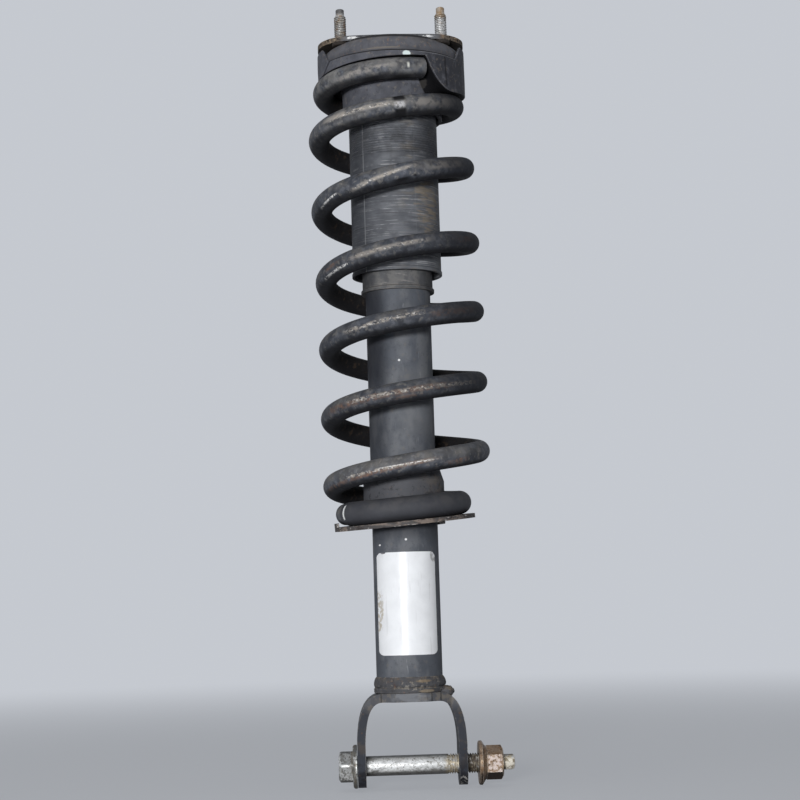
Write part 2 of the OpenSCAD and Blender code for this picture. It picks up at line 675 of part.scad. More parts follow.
function iso_section(j) = let (
    s = iso_back[j],
    t = turns - s / 360,
    a = start_deg + 360 * t,
    low = wire_z(t),
    zc = low + (wire_z(turns) - low) * iso_climb[j],
    x = wire_bow(t) + coil_radius(t) * cos(a),
    y = coil_radius(t) * sin(a),
    rc = norm([x, y]),
    az = atan2(y, x),
    rg = wire_r + seat_gap + 0.45,
    ro = iso_d / 2,
    lip = wire_r - 0.2,
    a1 = asin(lip / rg),
    ear = 0.2 + (ear_h - 0.2) * ear_share(az),
    ri = iso_neck_d / 2,
    top = z_iso,
    z_neck = z_iso - iso_len
) [for (p = reversed([
    [ri - 3.4, z_neck], [ri - 0.6, z_neck], [min(ri, rc + rg * cos(150) - 0.4), zc + 0.5],
    [rc + rg * cos(150), zc + rg * sin(150)], [rc + rg * cos(122), zc + rg * sin(122)],
    [rc + rg * cos(94), zc + rg * sin(94)], [rc + rg * cos((94 + a1) / 2), zc + rg * sin((94 + a1) / 2)],
    [rc + rg * cos(a1), zc + lip], [ro, min(zc + lip, top - 1)],
    [ro, top + ear], [cup_d / 2 + 0.2, top + ear], [cup_d / 2 + 0.2, top], [ri - 3.4, top]
])) [p[0] * cos(az), p[0] * sin(az), p[1]]];

module upper_isolator() color("#333436") from_bolt_axis() {
    m = len(iso_back);
    n = len(iso_section(0));
    polyhedron(
        points = [for (j = [0:m - 1]) each iso_section(j)],
        faces = concat(
            tube_faces(0, m, n),
            [for (k = [0:n - 1])
                let (a = (m - 1) * n + k, b = (m - 1) * n + (k + 1) % n, c = (k + 1) % n, d = k)
                each [[a, d, c], [a, c, b]]]
        )
    );
}

// ---- Upper mount

module plate_outline()
    offset(r = plate_round) offset(r = -plate_round) intersection() {
        circle(d = plate_d);
        translate([0, 300 - plate_front]) circle(r = 300, $fn = 240);
    }

module at_studs() for (a = [90, 210, 330]) rotate([0, 0, a]) translate([stud_pcd / 2, 0, 0]) children();

module mount_plate() color("#332c28") from_bolt_axis() {
    difference() {
        translate([0, 0, z_plate]) linear_extrude(height = plate_t) plate_outline();
        translate([0, 0, z_plate - 1]) cylinder(d = plate_bore, h = plate_t + 2);
        at_studs() translate([0, 0, z_plate - 1]) cylinder(d = stud_d + 1.2 + 2 * seat_gap, h = plate_t + 2);
        // Small notch that marks the front
        translate([0.5, -plate_front, z_plate - 1]) cylinder(r = 1.3, h = plate_t + 2);
    }
}

module mount_cup() color("#3a3634") from_bolt_axis() {
    r = cup_d / 2;
    h = housing_d / 2;
    z1 = z_plate - seat_gap;
    turned([
        [r - 2, z_iso], [r, z_iso + 1.5], [r, z_iso + 3.5], [r - 1.5, z_iso + 5], [r - 4, z_iso + 5], [r - 5.5, z_iso + cup_t],
        [h + 10, z_iso + cup_t], [h + 7.8, z1], [h - cup_t + 0.5, z1], [h - cup_t + 0.5, z_housing + cup_t],
        [h - 9, z_housing + cup_t], [h - 9, z_housing], [h, z_housing], [h, z1 - cup_t], [h + 5.1, z1 - cup_t], [h + 7.1, z_iso]
    ]);
}

module tower_studs() color("#8f7a5c") from_bolt_axis() at_studs()
    turned([
        [0, z_plate - 3], [stud_d / 2 + 2.2, z_plate - 3], [stud_d / 2 + 2.2, z_plate - seat_gap], [stud_d / 2 + 0.6, z_plate - seat_gap],
        [stud_d / 2 + 0.6, z_face - 0.65], [stud_d / 2, z_face - seat_gap],
        [stud_d / 2, z_face + stud_h - 6.4], [stud_d / 2 - 1.5, z_face + stud_h - 5], [stud_d / 2 - 1.5, z_face + stud_h - 0.8],
        [stud_d / 2 - 2.3, z_face + stud_h], [0, z_face + stud_h]
    ]);

module mount_bushing() color("#242424") from_bolt_axis() {
    r0 = sleeve_d / 2 + seat_gap / 2;
    r1 = housing_d / 2 - cup_t + 0.5 - seat_gap;
    z0 = z_housing + cup_t + seat_gap;
    turned([
        [r0, z0 - 1], [r0 + 4, z0 - 1.5], [housing_d / 2 - 10, z0 - 1], [housing_d / 2 - 10, z0], [r1, z0], [r1, z_plate - 3],
        [r1 - 2, z_plate - seat_gap - 0.1], [plate_bore / 2, z_plate - seat_gap - 0.1], [r1 - 6, z_sleeve_top - 1.2], [r0, z_sleeve_top - 1.2]
    ]);
}

module bushing_sleeve() color("#7d7f82") from_bolt_axis()
    ring(rod_end_d / 2 + seat_gap, sleeve_d / 2, z_shoulder + rod_washer_t + seat_gap, z_sleeve_top - z_shoulder - rod_washer_t - 2 * seat_gap);

module rod_washers() color("#85878a") from_bolt_axis() {
    ring(rod_end_d / 2 + seat_gap, 16, z_shoulder + seat_gap, rod_washer_t - seat_gap);
    ring(rod_end_d / 2 + seat_gap, top_washer_d / 2, z_sleeve_top, rod_washer_t - seat_gap);
}

module rod_nut() color("#8a8c8f") from_bolt_axis()
    difference() {
        union() {
            translate([0, 0, z_nut]) cylinder(d = rod_nut_af + 5, h = 2);
            translate([0, 0, z_nut]) cylinder(d = rod_nut_af / cos(30), h = rod_nut_h, $fn = 6);
        }
        translate([0, 0, z_nut - 1]) cylinder(d = rod_end_d + 2 * seat_gap, h = rod_nut_h + 2);
    }

module jounce_bumper() color("#c9b37a") from_bolt_axis() {
    r = bumper_d / 2;
    l = bumper_len;
    z0 = z_bumper;
    turned([
        [rod_r + 0.5, z0], [r - 10, z0], [r - 6, z0 + l * 0.08], [r - 5, z0 + l * 0.2], [r - 7.5, z0 + l * 0.27],
        [r - 3, z0 + l * 0.36], [r - 2.5, z0 + l * 0.48], [r - 6, z0 + l * 0.56], [r, z0 + l * 0.66], [r, z0 + l],
        [16.6, z0 + l], [16.6, z_shoulder - 0.6], [rod_r + 0.5, z_shoulder - 0.6]
    ]);
}

module dust_shield() color("#3d3e40") from_bolt_axis() {
    r = shield_d / 2;
    w = shield_wall;
    rc = housing_d / 2 + seat_gap;
    z_neck = z_housing - 2;
    z_groove = z_wire_top - 75.4;
    turned(concat(
        [[r - w, z_shield], [r + 0.6, z_shield], [r + 0.6, z_shield + 2.5], [r, z_shield + 3.6]],
        [for (i = [0:groove_n - 1]) let (z = z_groove + i * groove_pitch)
            each [[r, z], [r - 0.5, z + groove_pitch * 0.3], [r, z + groove_pitch * 0.6]]],
        [[r, z_neck - 8], [rc + w, z_neck + 2], [rc + w, z_shield_top], [rc, z_shield_top], [rc, z_neck + 1.4], [r - w, z_neck - 8.6]]
    ));
}

// ---- Drawing

clevis_fork();
fork_ring();
fork_weld();
damper_tube();
blank_label();
base_cap();
base_valve();
inner_cylinder();
rod_guide();
oil_seal();
striker_cap();
lower_spring_seat();
seat_weld();
spring_sleeve();
coil_spring();
mount_plate();
mount_cup();
tower_studs();
upper_isolator();
mount_bushing();
bushing_sleeve();
rod_washers();
rod_nut();
jounce_bumper();
dust_shield();
piston_rod();
rebound_stop();
piston();
piston_band();
piston_nut();
clevis_bolt();
nut_washer();
clevis_nut();
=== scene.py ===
"""The look of the coil-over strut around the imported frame: camera and studio, the wound, turned and welded pieces, and
the materials. Lengths are in mm over the bolt axis, apart from the camera, floor and lights, which are in metres."""
import json
import math
from functools import partial
import bpy
import numpy as np
from mathutils import Matrix, Vector, noise


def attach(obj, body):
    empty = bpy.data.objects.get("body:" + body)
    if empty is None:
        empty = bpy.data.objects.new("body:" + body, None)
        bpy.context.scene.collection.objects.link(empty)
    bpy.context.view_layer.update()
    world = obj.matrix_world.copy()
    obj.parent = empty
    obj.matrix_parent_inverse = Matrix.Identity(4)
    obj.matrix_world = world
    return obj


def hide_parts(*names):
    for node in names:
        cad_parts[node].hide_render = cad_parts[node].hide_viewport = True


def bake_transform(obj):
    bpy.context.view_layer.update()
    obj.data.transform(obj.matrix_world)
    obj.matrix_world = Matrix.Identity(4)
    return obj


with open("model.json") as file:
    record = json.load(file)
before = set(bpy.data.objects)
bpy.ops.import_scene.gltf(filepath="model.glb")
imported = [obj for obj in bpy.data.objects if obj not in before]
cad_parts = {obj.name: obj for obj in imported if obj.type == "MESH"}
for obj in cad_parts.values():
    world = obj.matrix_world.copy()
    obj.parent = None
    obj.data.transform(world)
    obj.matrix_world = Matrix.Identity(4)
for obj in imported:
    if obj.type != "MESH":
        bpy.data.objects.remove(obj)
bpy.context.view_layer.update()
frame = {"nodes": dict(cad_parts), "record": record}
nodes = frame["nodes"]
scene = bpy.context.scene
MM = 0.001
FACE = 600.0          # the mounting face over the bolt axis, in mm


# ---------------------------------------------------------------- camera, floor and light

LOOK_UP, LOOK_ASIDE, ROLL = math.radians(6.6), math.radians(1.6), math.radians(1.77)
CAMERA_DEPTH, LENS, SENSOR = 1.494, 81.0, 36.0
AIM = (-0.0009, 0, 0.298 - FACE * MM)
FLOOR_Z, FLOOR_HALF = -FACE * MM - 0.0195, 9        # the floor lies 1.75 mm under the part
BACKDROP = (0.56, 0.585, 0.63, 1)
PALE_FROM_TO = (0.65, 2.6)        # distances over which the floor runs into the backdrop
LIT_POINT = (0, 0, -0.3)


def make_camera():
    """The view from in front, a little below and to the left, rolled so that the strut's top leans left."""
    e, az, roll = LOOK_UP, LOOK_ASIDE, ROLL
    forward = Vector((math.sin(az) * math.cos(e), math.cos(az) * math.cos(e), math.sin(e)))
    right0 = Vector((math.cos(az), -math.sin(az), 0))
    up0 = right0.cross(forward)
    right = math.cos(roll) * right0 - math.sin(roll) * up0
    up = math.cos(roll) * up0 + math.sin(roll) * right0
    data = bpy.data.cameras.new("camera")
    data.lens, data.sensor_width = LENS, SENSOR
    data.clip_start, data.clip_end = 0.05, 60
    cam = bpy.data.objects.new("camera", data)
    m = Matrix((right, up, -forward)).transposed().to_4x4()
    m.translation = Vector(AIM) - forward * CAMERA_DEPTH
    cam.matrix_world = m
    scene.collection.objects.link(cam)
    scene.camera = cam


def link(obj):
    scene.collection.objects.link(obj)
    return obj


def area_light(name, place, target, size, power):
    """A light of size (width, height) in metres and power in watts, turned to its target."""
    data = bpy.data.lights.new(name, "AREA")
    data.shape, data.size, data.size_y, data.energy = "RECTANGLE", size[0], size[1], power
    obj = link(bpy.data.objects.new(name, data))
    obj.location = place
    obj.rotation_euler = (Vector(target) - Vector(place)).to_track_quat("-Z", "Y").to_euler()


def feed(tree, socket, value):
    """Links a socket to another one or gives it a value; None leaves it as it is."""
    if isinstance(value, bpy.types.NodeSocket):
        tree.links.new(value, socket)
    elif value is not None:
        socket.default_value = value


def new_node(tree, kind, *values, **settings):
    n = tree.nodes.new(kind)
    for key, value in settings.items():
        setattr(n, key, value)
    for socket, value in zip(n.inputs, values):
        feed(tree, socket, value)
    return n


def backdrop_rays(tree):
    """1 for the rays that show the backdrop: straight on, or by a mirror or a clear surface."""
    path = tree.nodes.new("ShaderNodeLightPath").outputs
    rays = path["Is Camera Ray"]
    for other in ("Is Glossy Ray", "Is Transmission Ray"):
        rays = new_node(tree, "ShaderNodeMath", rays, path[other], operation="ADD", use_clamp=True).outputs[0]
    return rays


def floor_material():
    """Pale grey that holds the shadow near the strut and runs into the backdrop's own tone further off."""
    m = bpy.data.materials.new("pale_floor")
    m.use_nodes = True
    t = m.node_tree
    lit = t.nodes["Principled BSDF"]
    lit.inputs["Base Color"].default_value = (0.42, 0.43, 0.45, 1)
    lit.inputs["Roughness"].default_value = 0.8
    pale = new_node(t, "ShaderNodeEmission", BACKDROP)
    place = t.nodes.new("ShaderNodeNewGeometry").outputs["Position"]
    reach = new_node(t, "ShaderNodeVectorMath", place, operation="LENGTH").outputs["Value"]
    share = new_node(t, "ShaderNodeMapRange", reach, *PALE_FROM_TO, 0.5, 1.0, interpolation_type="SMOOTHSTEP")
    weight = new_node(t, "ShaderNodeMath", share.outputs[0], backdrop_rays(t), operation="MULTIPLY")
    mix = new_node(t, "ShaderNodeMixShader", weight.outputs[0], lit.outputs[0], pale.outputs[0])
    t.links.new(mix.outputs[0], t.nodes["Material Output"].inputs["Surface"])
    return m


def make_studio():
    mesh = bpy.data.meshes.new("floor")
    h = FLOOR_HALF
    mesh.from_pydata([(-h, -h, FLOOR_Z), (h, -h, FLOOR_Z), (h, h, FLOOR_Z), (-h, h, FLOOR_Z)], [], [(0, 1, 2, 3)])
    mesh.materials.append(floor_material())
    link(bpy.data.objects.new("floor", mesh))
    world = bpy.data.worlds.new("studio")
    scene.world = world
    world.use_nodes = True
    t = world.node_tree
    t.nodes.clear()
    lit = new_node(t, "ShaderNodeBackground", (0.93, 0.96, 1.0, 1), 0.05)
    seen = new_node(t, "ShaderNodeBackground", BACKDROP, 1.0)
    mix = new_node(t, "ShaderNodeMixShader", backdrop_rays(t), lit.outputs[0], seen.outputs[0])
    new_node(t, "ShaderNodeOutputWorld", mix.outputs[0])
    area_light("key", (-0.42, -1.93, -0.33), LIT_POINT, (0.5, 0.2), 37)
    area_light("top", (-0.2, -0.5, 1.6), LIT_POINT, (1.2, 1.2), 7)
    scene.view_settings.view_transform = "Standard"


# ---------------------------------------------------------------- meshes

def mesh_object(name, verts, faces, sharp, attrs=None):
    """A smooth object from vertices in mm over the bolt axis, with edges sharp from an angle in degrees on; attrs are
    numbers at each vertex for its material."""
    v = np.asarray(verts, dtype=float) * MM
    v[:, 2] -= FACE * MM
    mesh = bpy.data.meshes.new(name)
    mesh.from_pydata(v.tolist(), [], [list(f) for f in faces])
    mesh.update()
    mesh.polygons.foreach_set("use_smooth", [True] * len(mesh.polygons))
    mesh.set_sharp_from_angle(angle=math.radians(sharp))
    for key, values in (attrs or {}).items():
        mesh.attributes.new(key, "FLOAT", "POINT").data.foreach_set("value", np.asarray(values, dtype=np.float32))
    return link(bpy.data.objects.new(name, mesh))


def tube_faces(rows, n, flip=False, first=0):
    """Quads between rows of n points."""
    out = []
    for i in range(rows - 1):
        for k in range(n):
            a, b = first + i * n + k, first + i * n + (k + 1) % n
            out.append((a, a + n, b + n, b) if flip else (a, b, b + n, a + n))
    return out


def capped(rows, n):
    """Faces of a closed form of rows of n points, with a flat cap at each end."""
    return tube_faces(rows, n) + [tuple(range(n - 1, -1, -1)), tuple(range((rows - 1) * n, rows * n))]


def ring_faces(rows, n):
    """Faces of a form whose last row of n points meets its first."""
    last = (rows - 1) * n
    return tube_faces(rows, n) + [(last + k, last + (k + 1) % n, (k + 1) % n, k) for k in range(n)]


def around(r, q, z):
    """Points at radius r and height z in the directions q."""
    return np.stack([r * np.cos(q), r * np.sin(q), z + 0 * q], axis=-1)


def smooth(a, b, t):
    u = np.clip((t - a) / (b - a), 0, 1)
    return u * u * (3 - 2 * u)


def lumps(points, size, seed):
    """Smooth noise of about -1 to 1 at points, in lumps of the given size."""
    return np.array([noise.noise(Vector(p) / size + Vector((seed, 2 * seed, 3 * seed))) for p in points]) * 1.6


# ---------------------------------------------------------------- the spring's line, as in the CAD

WIRE_R, TURNS, START = 8.75, 7.29, -165.0       # START is the lower end's direction, in degrees
LO_R, MID_R, HI_R = 47.6, 60.75, 54.75          # coil radii at the bottom, in the middle and at the top
# Turns up to which the wire lies on the seat, at which the working pitch starts and ends, and at which the top's starts
LIE, LO_B, HI_A, HI_B = 0.46, 1.2, TURNS - 1.25, TURNS - 0.35
P_HI, Z_TOP = 22.0, 575.0                       # the closed top coil's pitch, and the wire's upper side at its end
Z_SEAT, TILT, LOW = 198.15, math.radians(5.44), -144.0      # the seat's height, tilt and lowest direction
SLEEVE_WALL, FACE_GAP = 0.7, 0.3
Z_LIE = Z_SEAT + (WIRE_R + SLEEVE_WALL + FACE_GAP) / math.cos(TILT)
LIE_RISE = LO_R * math.tan(TILT)
LIE_END = math.radians(360 * LIE - (LOW - START))
P_LIE = 2 * math.pi * LIE_RISE * math.sin(LIE_END)
PITCH = (Z_TOP - WIRE_R - Z_LIE + LIE_RISE * math.cos(LIE_END) - P_LIE * (LO_B - LIE) / 2
         - P_HI * (TURNS - (HI_A + HI_B) / 2)) / ((HI_A + HI_B - LIE - LO_B) / 2)


def ramp_rise(a, b, p, q, t):
    """The rise up to turn t of a pitch that runs from p at turn a to q at turn b."""
    u = np.clip(t, a, b) - a
    return p * u + (q - p) * u * u / (2 * (b - a))


def swell(a, b, c, d, t):
    """0, then 1 from turn b to turn c, then 0 again."""
    return smooth(a, b, t) - smooth(c, d, t)


def settled(t):
    """What a used spring's coils stand off their even winding."""
    return (-0.8 * swell(0.9, 1.9, 6.6, 7, t) - 1.2 * swell(2.2, 2.7, 2.7, 3.2, t)
            - 3.4 * swell(3.45, 3.85, 3.85, 4.25, t) - 1.9 * swell(4.28, 4.74, 4.74, 5.2, t)
            + 5.4 * swell(5.1, 5.52, 5.55, 6.25, t) + 2.6 * swell(6.22, 6.45, 6.5, 7, t))


def wire_at(t):
    """The wire's centre at turn t; bow is how far the coils stand to the side."""
    a = np.radians(START + 360 * t)
    bow = 4.7 * smooth(0.4, 1.2, t) - 2.1 - 5.6 * smooth(2.6, 6.6, t)
    r = LO_R + (MID_R - LO_R) * smooth(0.45, 1.1, t) - (MID_R - HI_R) * smooth(TURNS - 1.5, TURNS - 0.85, t)
    z = (Z_LIE - LIE_RISE * np.cos(np.radians(360 * np.minimum(t, LIE) - (LOW - START)))
         + ramp_rise(LIE, LO_B, P_LIE, PITCH, t) + PITCH * (np.clip(t, LO_B, HI_A) - LO_B)
         + ramp_rise(HI_A, HI_B, PITCH, P_HI, t) + P_HI * (np.maximum(t, HI_B) - HI_B) + settled(t))
    return np.stack([bow + r * np.cos(a), r * np.sin(a), z], axis=-1)


def wire_frame(t):
    """The wire's centre and its outward and upward directions at turn t (an array)."""
    a = np.radians(START + 360 * t)
    along = wire_at(t + 0.002) - wire_at(t - 0.002)
    along /= np.linalg.norm(along, axis=1, keepdims=True)
    out = np.stack([np.cos(a), np.sin(a), 0 * a], axis=-1)
    out -= np.sum(out * along, axis=1, keepdims=True) * along
    out /= np.linalg.norm(out, axis=1, keepdims=True)
    return wire_at(t), out, np.cross(along, out)


def wire_tube(t, r, n):
    """Rings of n points round the wire's line, with each point's turn and the sides it faces."""
    c, out, up = wire_frame(t)
    k = np.arange(n) * 2 * math.pi / n
    r = np.broadcast_to(r, t.shape)[:, None, None]
    v = c[:, None, :] + r * (np.cos(k)[None, :, None] * out[:, None, :] + np.sin(k)[None, :, None] * up[:, None, :])
    attrs = {"turn": np.repeat(t, n), "side": np.tile(np.cos(k), len(t)), "top": np.tile(-np.sin(k), len(t))}
    return v.reshape(-1, 3), attrs


def make_spring():
    """The wound wire, with a short chamfer at each cut end."""
    n = 32
    body = np.linspace(0, TURNS, int(96 * TURNS) + 1)
    chamfer, end_r = 0.35, 55
    dt = chamfer / (2 * math.pi * end_r)
    t = np.concatenate([[0, dt], body[1:-1], [TURNS - dt, TURNS]])
    r = np.full(len(t), WIRE_R)
    r[0] = r[-1] = WIRE_R - chamfer
    v, attrs = wire_tube(t, r, n)
    return mesh_object("coil_spring_wire", v, capped(len(t), n), sharp=35, attrs=attrs)


def make_sleeve():
    """The rubber tube that is pushed over the wire's lower end, round at both rims."""
    n, start, last, bore = 32, 0.033, 23 * TURNS / 219, WIRE_R + 0.25
    edge = np.array([0, 0.0008, 0.002])
    t = np.concatenate([start + edge, np.linspace(0.04, last - 0.007, 76), last - edge[::-1]])
    wall = np.full(len(t), SLEEVE_WALL)
    wall[[0, -1]], wall[[1, -2]] = 0.3, 0.58
    outer, attrs = wire_tube(t, bore + wall, n)
    inner, _ = wire_tube(t, bore, n)
    m = len(t)
    faces = tube_faces(m, n) + tube_faces(m, n, True, m * n)
    for k in range(n):
        a, b = k, (k + 1) % n
        faces.append((b, a, m * n + a, m * n + b))
        a, b = (m - 1) * n + k, (m - 1) * n + (k + 1) % n
        faces.append((a, b, m * n + b, m * n + a))
    return mesh_object("spring_sleeve_rubber", np.concatenate([outer, inner]), faces, sharp=50,
                       attrs={key: np.tile(x, 2) for key, x in attrs.items()})


# ---------------------------------------------------------------- the upper isolator

ISO_R, NECK_R, CUP_R = 62.0, 42.0, 60.0         # radii of the isolator, its neck and the cup
Z_ISO, ISO_LEN, EAR = 577.5, 44.0, 14.0         # its top, its length and the height of its ears
CLIMB = 34.0          # degrees over which the groove climbs past the wire's cut end


def iso_section(back):
    """Points (radius, height) of the isolator's section, at a number of degrees before the wire's cut end."""
    t = TURNS - back / 360
    a = math.radians(START + 360 * t)
    x, y, low = wire_at(np.array([t]))[0]
    climb = float(np.clip((back - 360 + CLIMB) / CLIMB, 0, 1) ** 3)
    zc = low + (wire_at(np.array([TURNS]))[0][2] - low) * climb
    rc, az = math.hypot(x, y), math.atan2(y, x)
    rg = WIRE_R + 0.5
    a1 = math.asin((WIRE_R - 0.2) / rg)
    side = math.degrees(az) % 180
    side = min(side, 180 - side)
    ear = 0.2 + (EAR - 0.2) * (1 - float(smooth(20, 33, side)))
    ridge = 0.35 * math.sin(3 * az + 0.6)
    arc = [(rc + rg * math.cos(q), zc + rg * math.sin(q)) for q in np.linspace(math.radians(152), a1, 15)]
    lip = min(zc + WIRE_R - 0.2, Z_ISO - 1.5)
    pts = [(NECK_R - 3.4, Z_ISO - ISO_LEN + 0.8), (NECK_R - 2.6, Z_ISO - ISO_LEN), (NECK_R - 0.9, Z_ISO - ISO_LEN),
           (NECK_R - 0.2, Z_ISO - ISO_LEN + 0.8)]
    neck_top = arc[0][1]
    for f in (0.12, 0.3, 0.5, 0.7, 0.88):
        z = Z_ISO - ISO_LEN + (neck_top - Z_ISO + ISO_LEN) * f
        pts.append((min(NECK_R, arc[0][0] - 0.2) - 0.35 * math.sin(math.pi * f), z))
    pts += arc
    pts += [(ISO_R - 0.3, lip + 0.1), (ISO_R, lip + 0.5)]
    for f in (0.25, 0.5, 0.75):
        pts.append((ISO_R + ridge * math.sin(math.pi * f), lip + (Z_ISO - lip) * f))
    top = Z_ISO + ear
    pts += [(ISO_R, Z_ISO), (ISO_R, Z_ISO + ear * 0.5), (ISO_R - 0.1, top - 0.5), (ISO_R - 0.6, top),
            (CUP_R + 0.7, top), (CUP_R + 0.25, top - 0.4), (CUP_R + 0.2, Z_ISO), (NECK_R - 3.4, Z_ISO)]
    return [(r * math.cos(az), r * math.sin(az), z) for r, z in pts]


def make_isolator():
    backs = np.concatenate([np.linspace(358, 360 - CLIMB, 18), np.arange(324, -0.01, -2.0)])
    rows = [iso_section(b)[::-1] for b in backs]
    n, m = len(rows[0]), len(rows)
    return mesh_object("isolator_rubber", np.concatenate(rows), ring_faces(m, n), sharp=40)


# ---------------------------------------------------------------- the steel cup

def make_cup():
    """The pressed cup, whose shoulder bulges up towards the plate between the studs' heads."""
    n = 240
    q = np.arange(n) * 2 * math.pi / n
    near = np.min([np.abs((np.degrees(q) - a + 180) % 360 - 180) for a in (90, 210, 330)], axis=0)
    dip = smooth(12, 26, near)
    low, z1 = 566.0, 595.95
    rows = []
    for r, z, lift in ((58, 577.5, 0), (59.6, 578.1, 0), (60, 579.4, 0), (60, 582.4, 0), (59.4, 585.6, 0.3),
            (57.8, 588.6, 0.8), (55.2, 591, 1.6), (51.4, 592.3, 2.3), (46, 592.6, 2.5), (41.6, 592.7, 2.4),
            (38.8, z1, 0), (28.5, z1, 0), (28.5, low + 3, 0), (22, low + 3, 0), (22, low, 0), (30.4, low, 0),
            (31, low + 0.6, 0), (31, 592.9, 0), (36.1, 592.9, 0), (38.1, 577.5, 0)):
        wave = 0.35 * np.sin(3 * q + 1.2) * (lift > 0)
        rows.append(around(r + wave, q, z + lift * dip))
    return mesh_object("mount_cup_pressed", np.concatenate(rows), ring_faces(len(rows), n), sharp=40)


# ---------------------------------------------------------------- threads, bolt and studs

ROUND = 72            # points round a turned piece


def lathe(profile, turn=0.0):
    """Rows of points round Z for a profile of (radius, height). A third number is the width across flats of a hexagon,
    turned by some degrees, that cuts the circle."""
    q = np.arange(ROUND) * 2 * math.pi / ROUND
    rows = []
    for r, z, *flats in profile:
        if flats:
            step = 2 * math.pi / 6
            off = (q - math.radians(turn)) % step - step / 2
            r = np.minimum(r, flats[0] / 2 / np.cos(off))
        rows.append(around(r, q, z))
    return rows


def thread_rows(r, root, pitch, z0, z1):
    """Rows of points that wind round Z as a thread, flat at both ends."""
    steps = [(0.0, root), (0.14, root), (0.42, r - 0.04), (0.5, r), (0.58, r), (0.66, r - 0.04), (0.94, root)]
    q = np.arange(ROUND) / ROUND
    rows = []
    for i in range(-1, int((z1 - z0) / pitch) + 2):
        for f, rad in steps:
            z = z0 + (i + f + q) * pitch
            inside = np.clip(z, z0, z1)
            fade = smooth(0, 0.5 * pitch, inside - z0) * smooth(0, 0.5 * pitch, z1 - inside)
            rr = root + (rad - root) * fade
            rows.append(around(rr, 2 * math.pi * q, inside))
    return rows


def thread_faces(rows, first, shift=7):
    """Quads of a thread: its last point of a row meets the row one pitch, or shift rows, on."""
    n, out = ROUND, []
    for i in range(rows - 1 - shift):
        for k in range(n):
            a, d = i * n + k, (i + 1) * n + k
            b, c = (a + 1, d + 1) if k < n - 1 else ((i + shift) * n, (i + 1 + shift) * n)
            out.append((first + a, first + b, first + c, first + d))
    return out


def threaded(name, below, above, r, root, pitch, z0, z1, place):
    """A turned piece whose thread from z0 to z1 lies between the rows below and above it."""
    n, verts, faces = ROUND, [], []
    for rows, cap in ((below, "first"), (above, "last")):
        first = sum(len(v) for v in verts)
        faces += tube_faces(len(rows), n, first=first)
        ring = [first + k for k in range(n)]
        faces.append(tuple(ring[::-1]) if cap == "first" else tuple(first + (len(rows) - 1) * n + k for k in range(n)))
        verts += rows
    first = sum(len(v) for v in verts)
    rows = thread_rows(r, root, pitch, z0, z1)
    faces += thread_faces(len(rows), first)
    verts += rows
    v = np.concatenate(verts)
    return mesh_object(name, place(v), faces, sharp=38)


HEAD_TURN, X_OUT, X_END = 22.0, 44.3, 73.7      # the head's turn in degrees, a leg's outer face and the thread's end
Z_PLATE, STUD_R = 596.0, 48.5                   # the mount plate's underside and the studs' circle
TUBE_R = 27.05                                  # just outside the damper tube


def make_bolt():
    """The clevis bolt on X: flanged head, plain shank, rolled M16 thread and pilot point."""
    x0, af = -X_OUT - 0.3, 24.0
    flange, crown = x0 - 3.5, x0 - 3.5 - 11.5
    below = lathe([(2, crown + 0.5), (7.2, crown + 0.5), (7.6, crown), (9.6, crown), (10.2, crown, af),
            (11.2, crown + 0.75, af), (12.2, crown + 1.3, af), (13.2, crown + 1.8, af), (af, crown + 2.4, af),
            (af, flange - 0.6, af), (af, flange - 0.2, af), (15.6, flange), (16.4, flange + 0.25), (17.1, flange + 0.8),
            (17.5, flange + 1.6), (17.5, x0 - 0.5), (17.1, x0), (8.6, x0), (8.0, x0 + 0.6), (8.0, X_END - 45),
            (7.98, X_END - 44.9), (7.7, X_END - 44.4), (6.9, X_END - 43.9)], turn=HEAD_TURN)
    above = lathe([
        (6.9, X_END - 0.9), (6.9, X_END), (6.35, X_END), (6.2, X_END + 0.4), (6.2, X_END + 7.6), (5.6, X_END + 8.6),
        (4.4, X_END + 9.4), (3.6, X_END + 9.5)
    ])
    return threaded("clevis_bolt_threaded", below, above, 8.0, 6.95, 2.0, X_END - 44.3, X_END - 0.2,
                    lambda v: np.stack([v[:, 2], v[:, 1], -v[:, 0]], axis=-1))


def make_stud(angle, tip):
    """One tower stud with its head, collar, M10 thread and pilot tip, along Z at its place on the circle."""
    h = FACE + 25.0
    below = lathe([(2, Z_PLATE - 3), (6.7, Z_PLATE - 3), (7.2, Z_PLATE - 2.5), (7.2, Z_PLATE - 0.5),
            (7.0, Z_PLATE - 0.05), (5.6, Z_PLATE - 0.05), (5.6, FACE - 1.2), (5.0, FACE - 0.8), (5.0, FACE + 0.6),
            (4.2, FACE + 1.2)])
    above = lathe([(4.25, h - 6.9), (4.2, h - 6.2), (3.5, h - 5.0), (3.5, h - 0.9), (3.2, h - 0.35), (2.6, h)])
    a = math.radians(angle)
    c = (STUD_R * math.cos(a), STUD_R * math.sin(a), 0)
    return threaded("tower_stud_" + tip, below, above, 5.0, 4.15, 1.5, FACE + 1.0, h - 6.4, lambda v: v + np.array(c))


# ---------------------------------------------------------------- welds

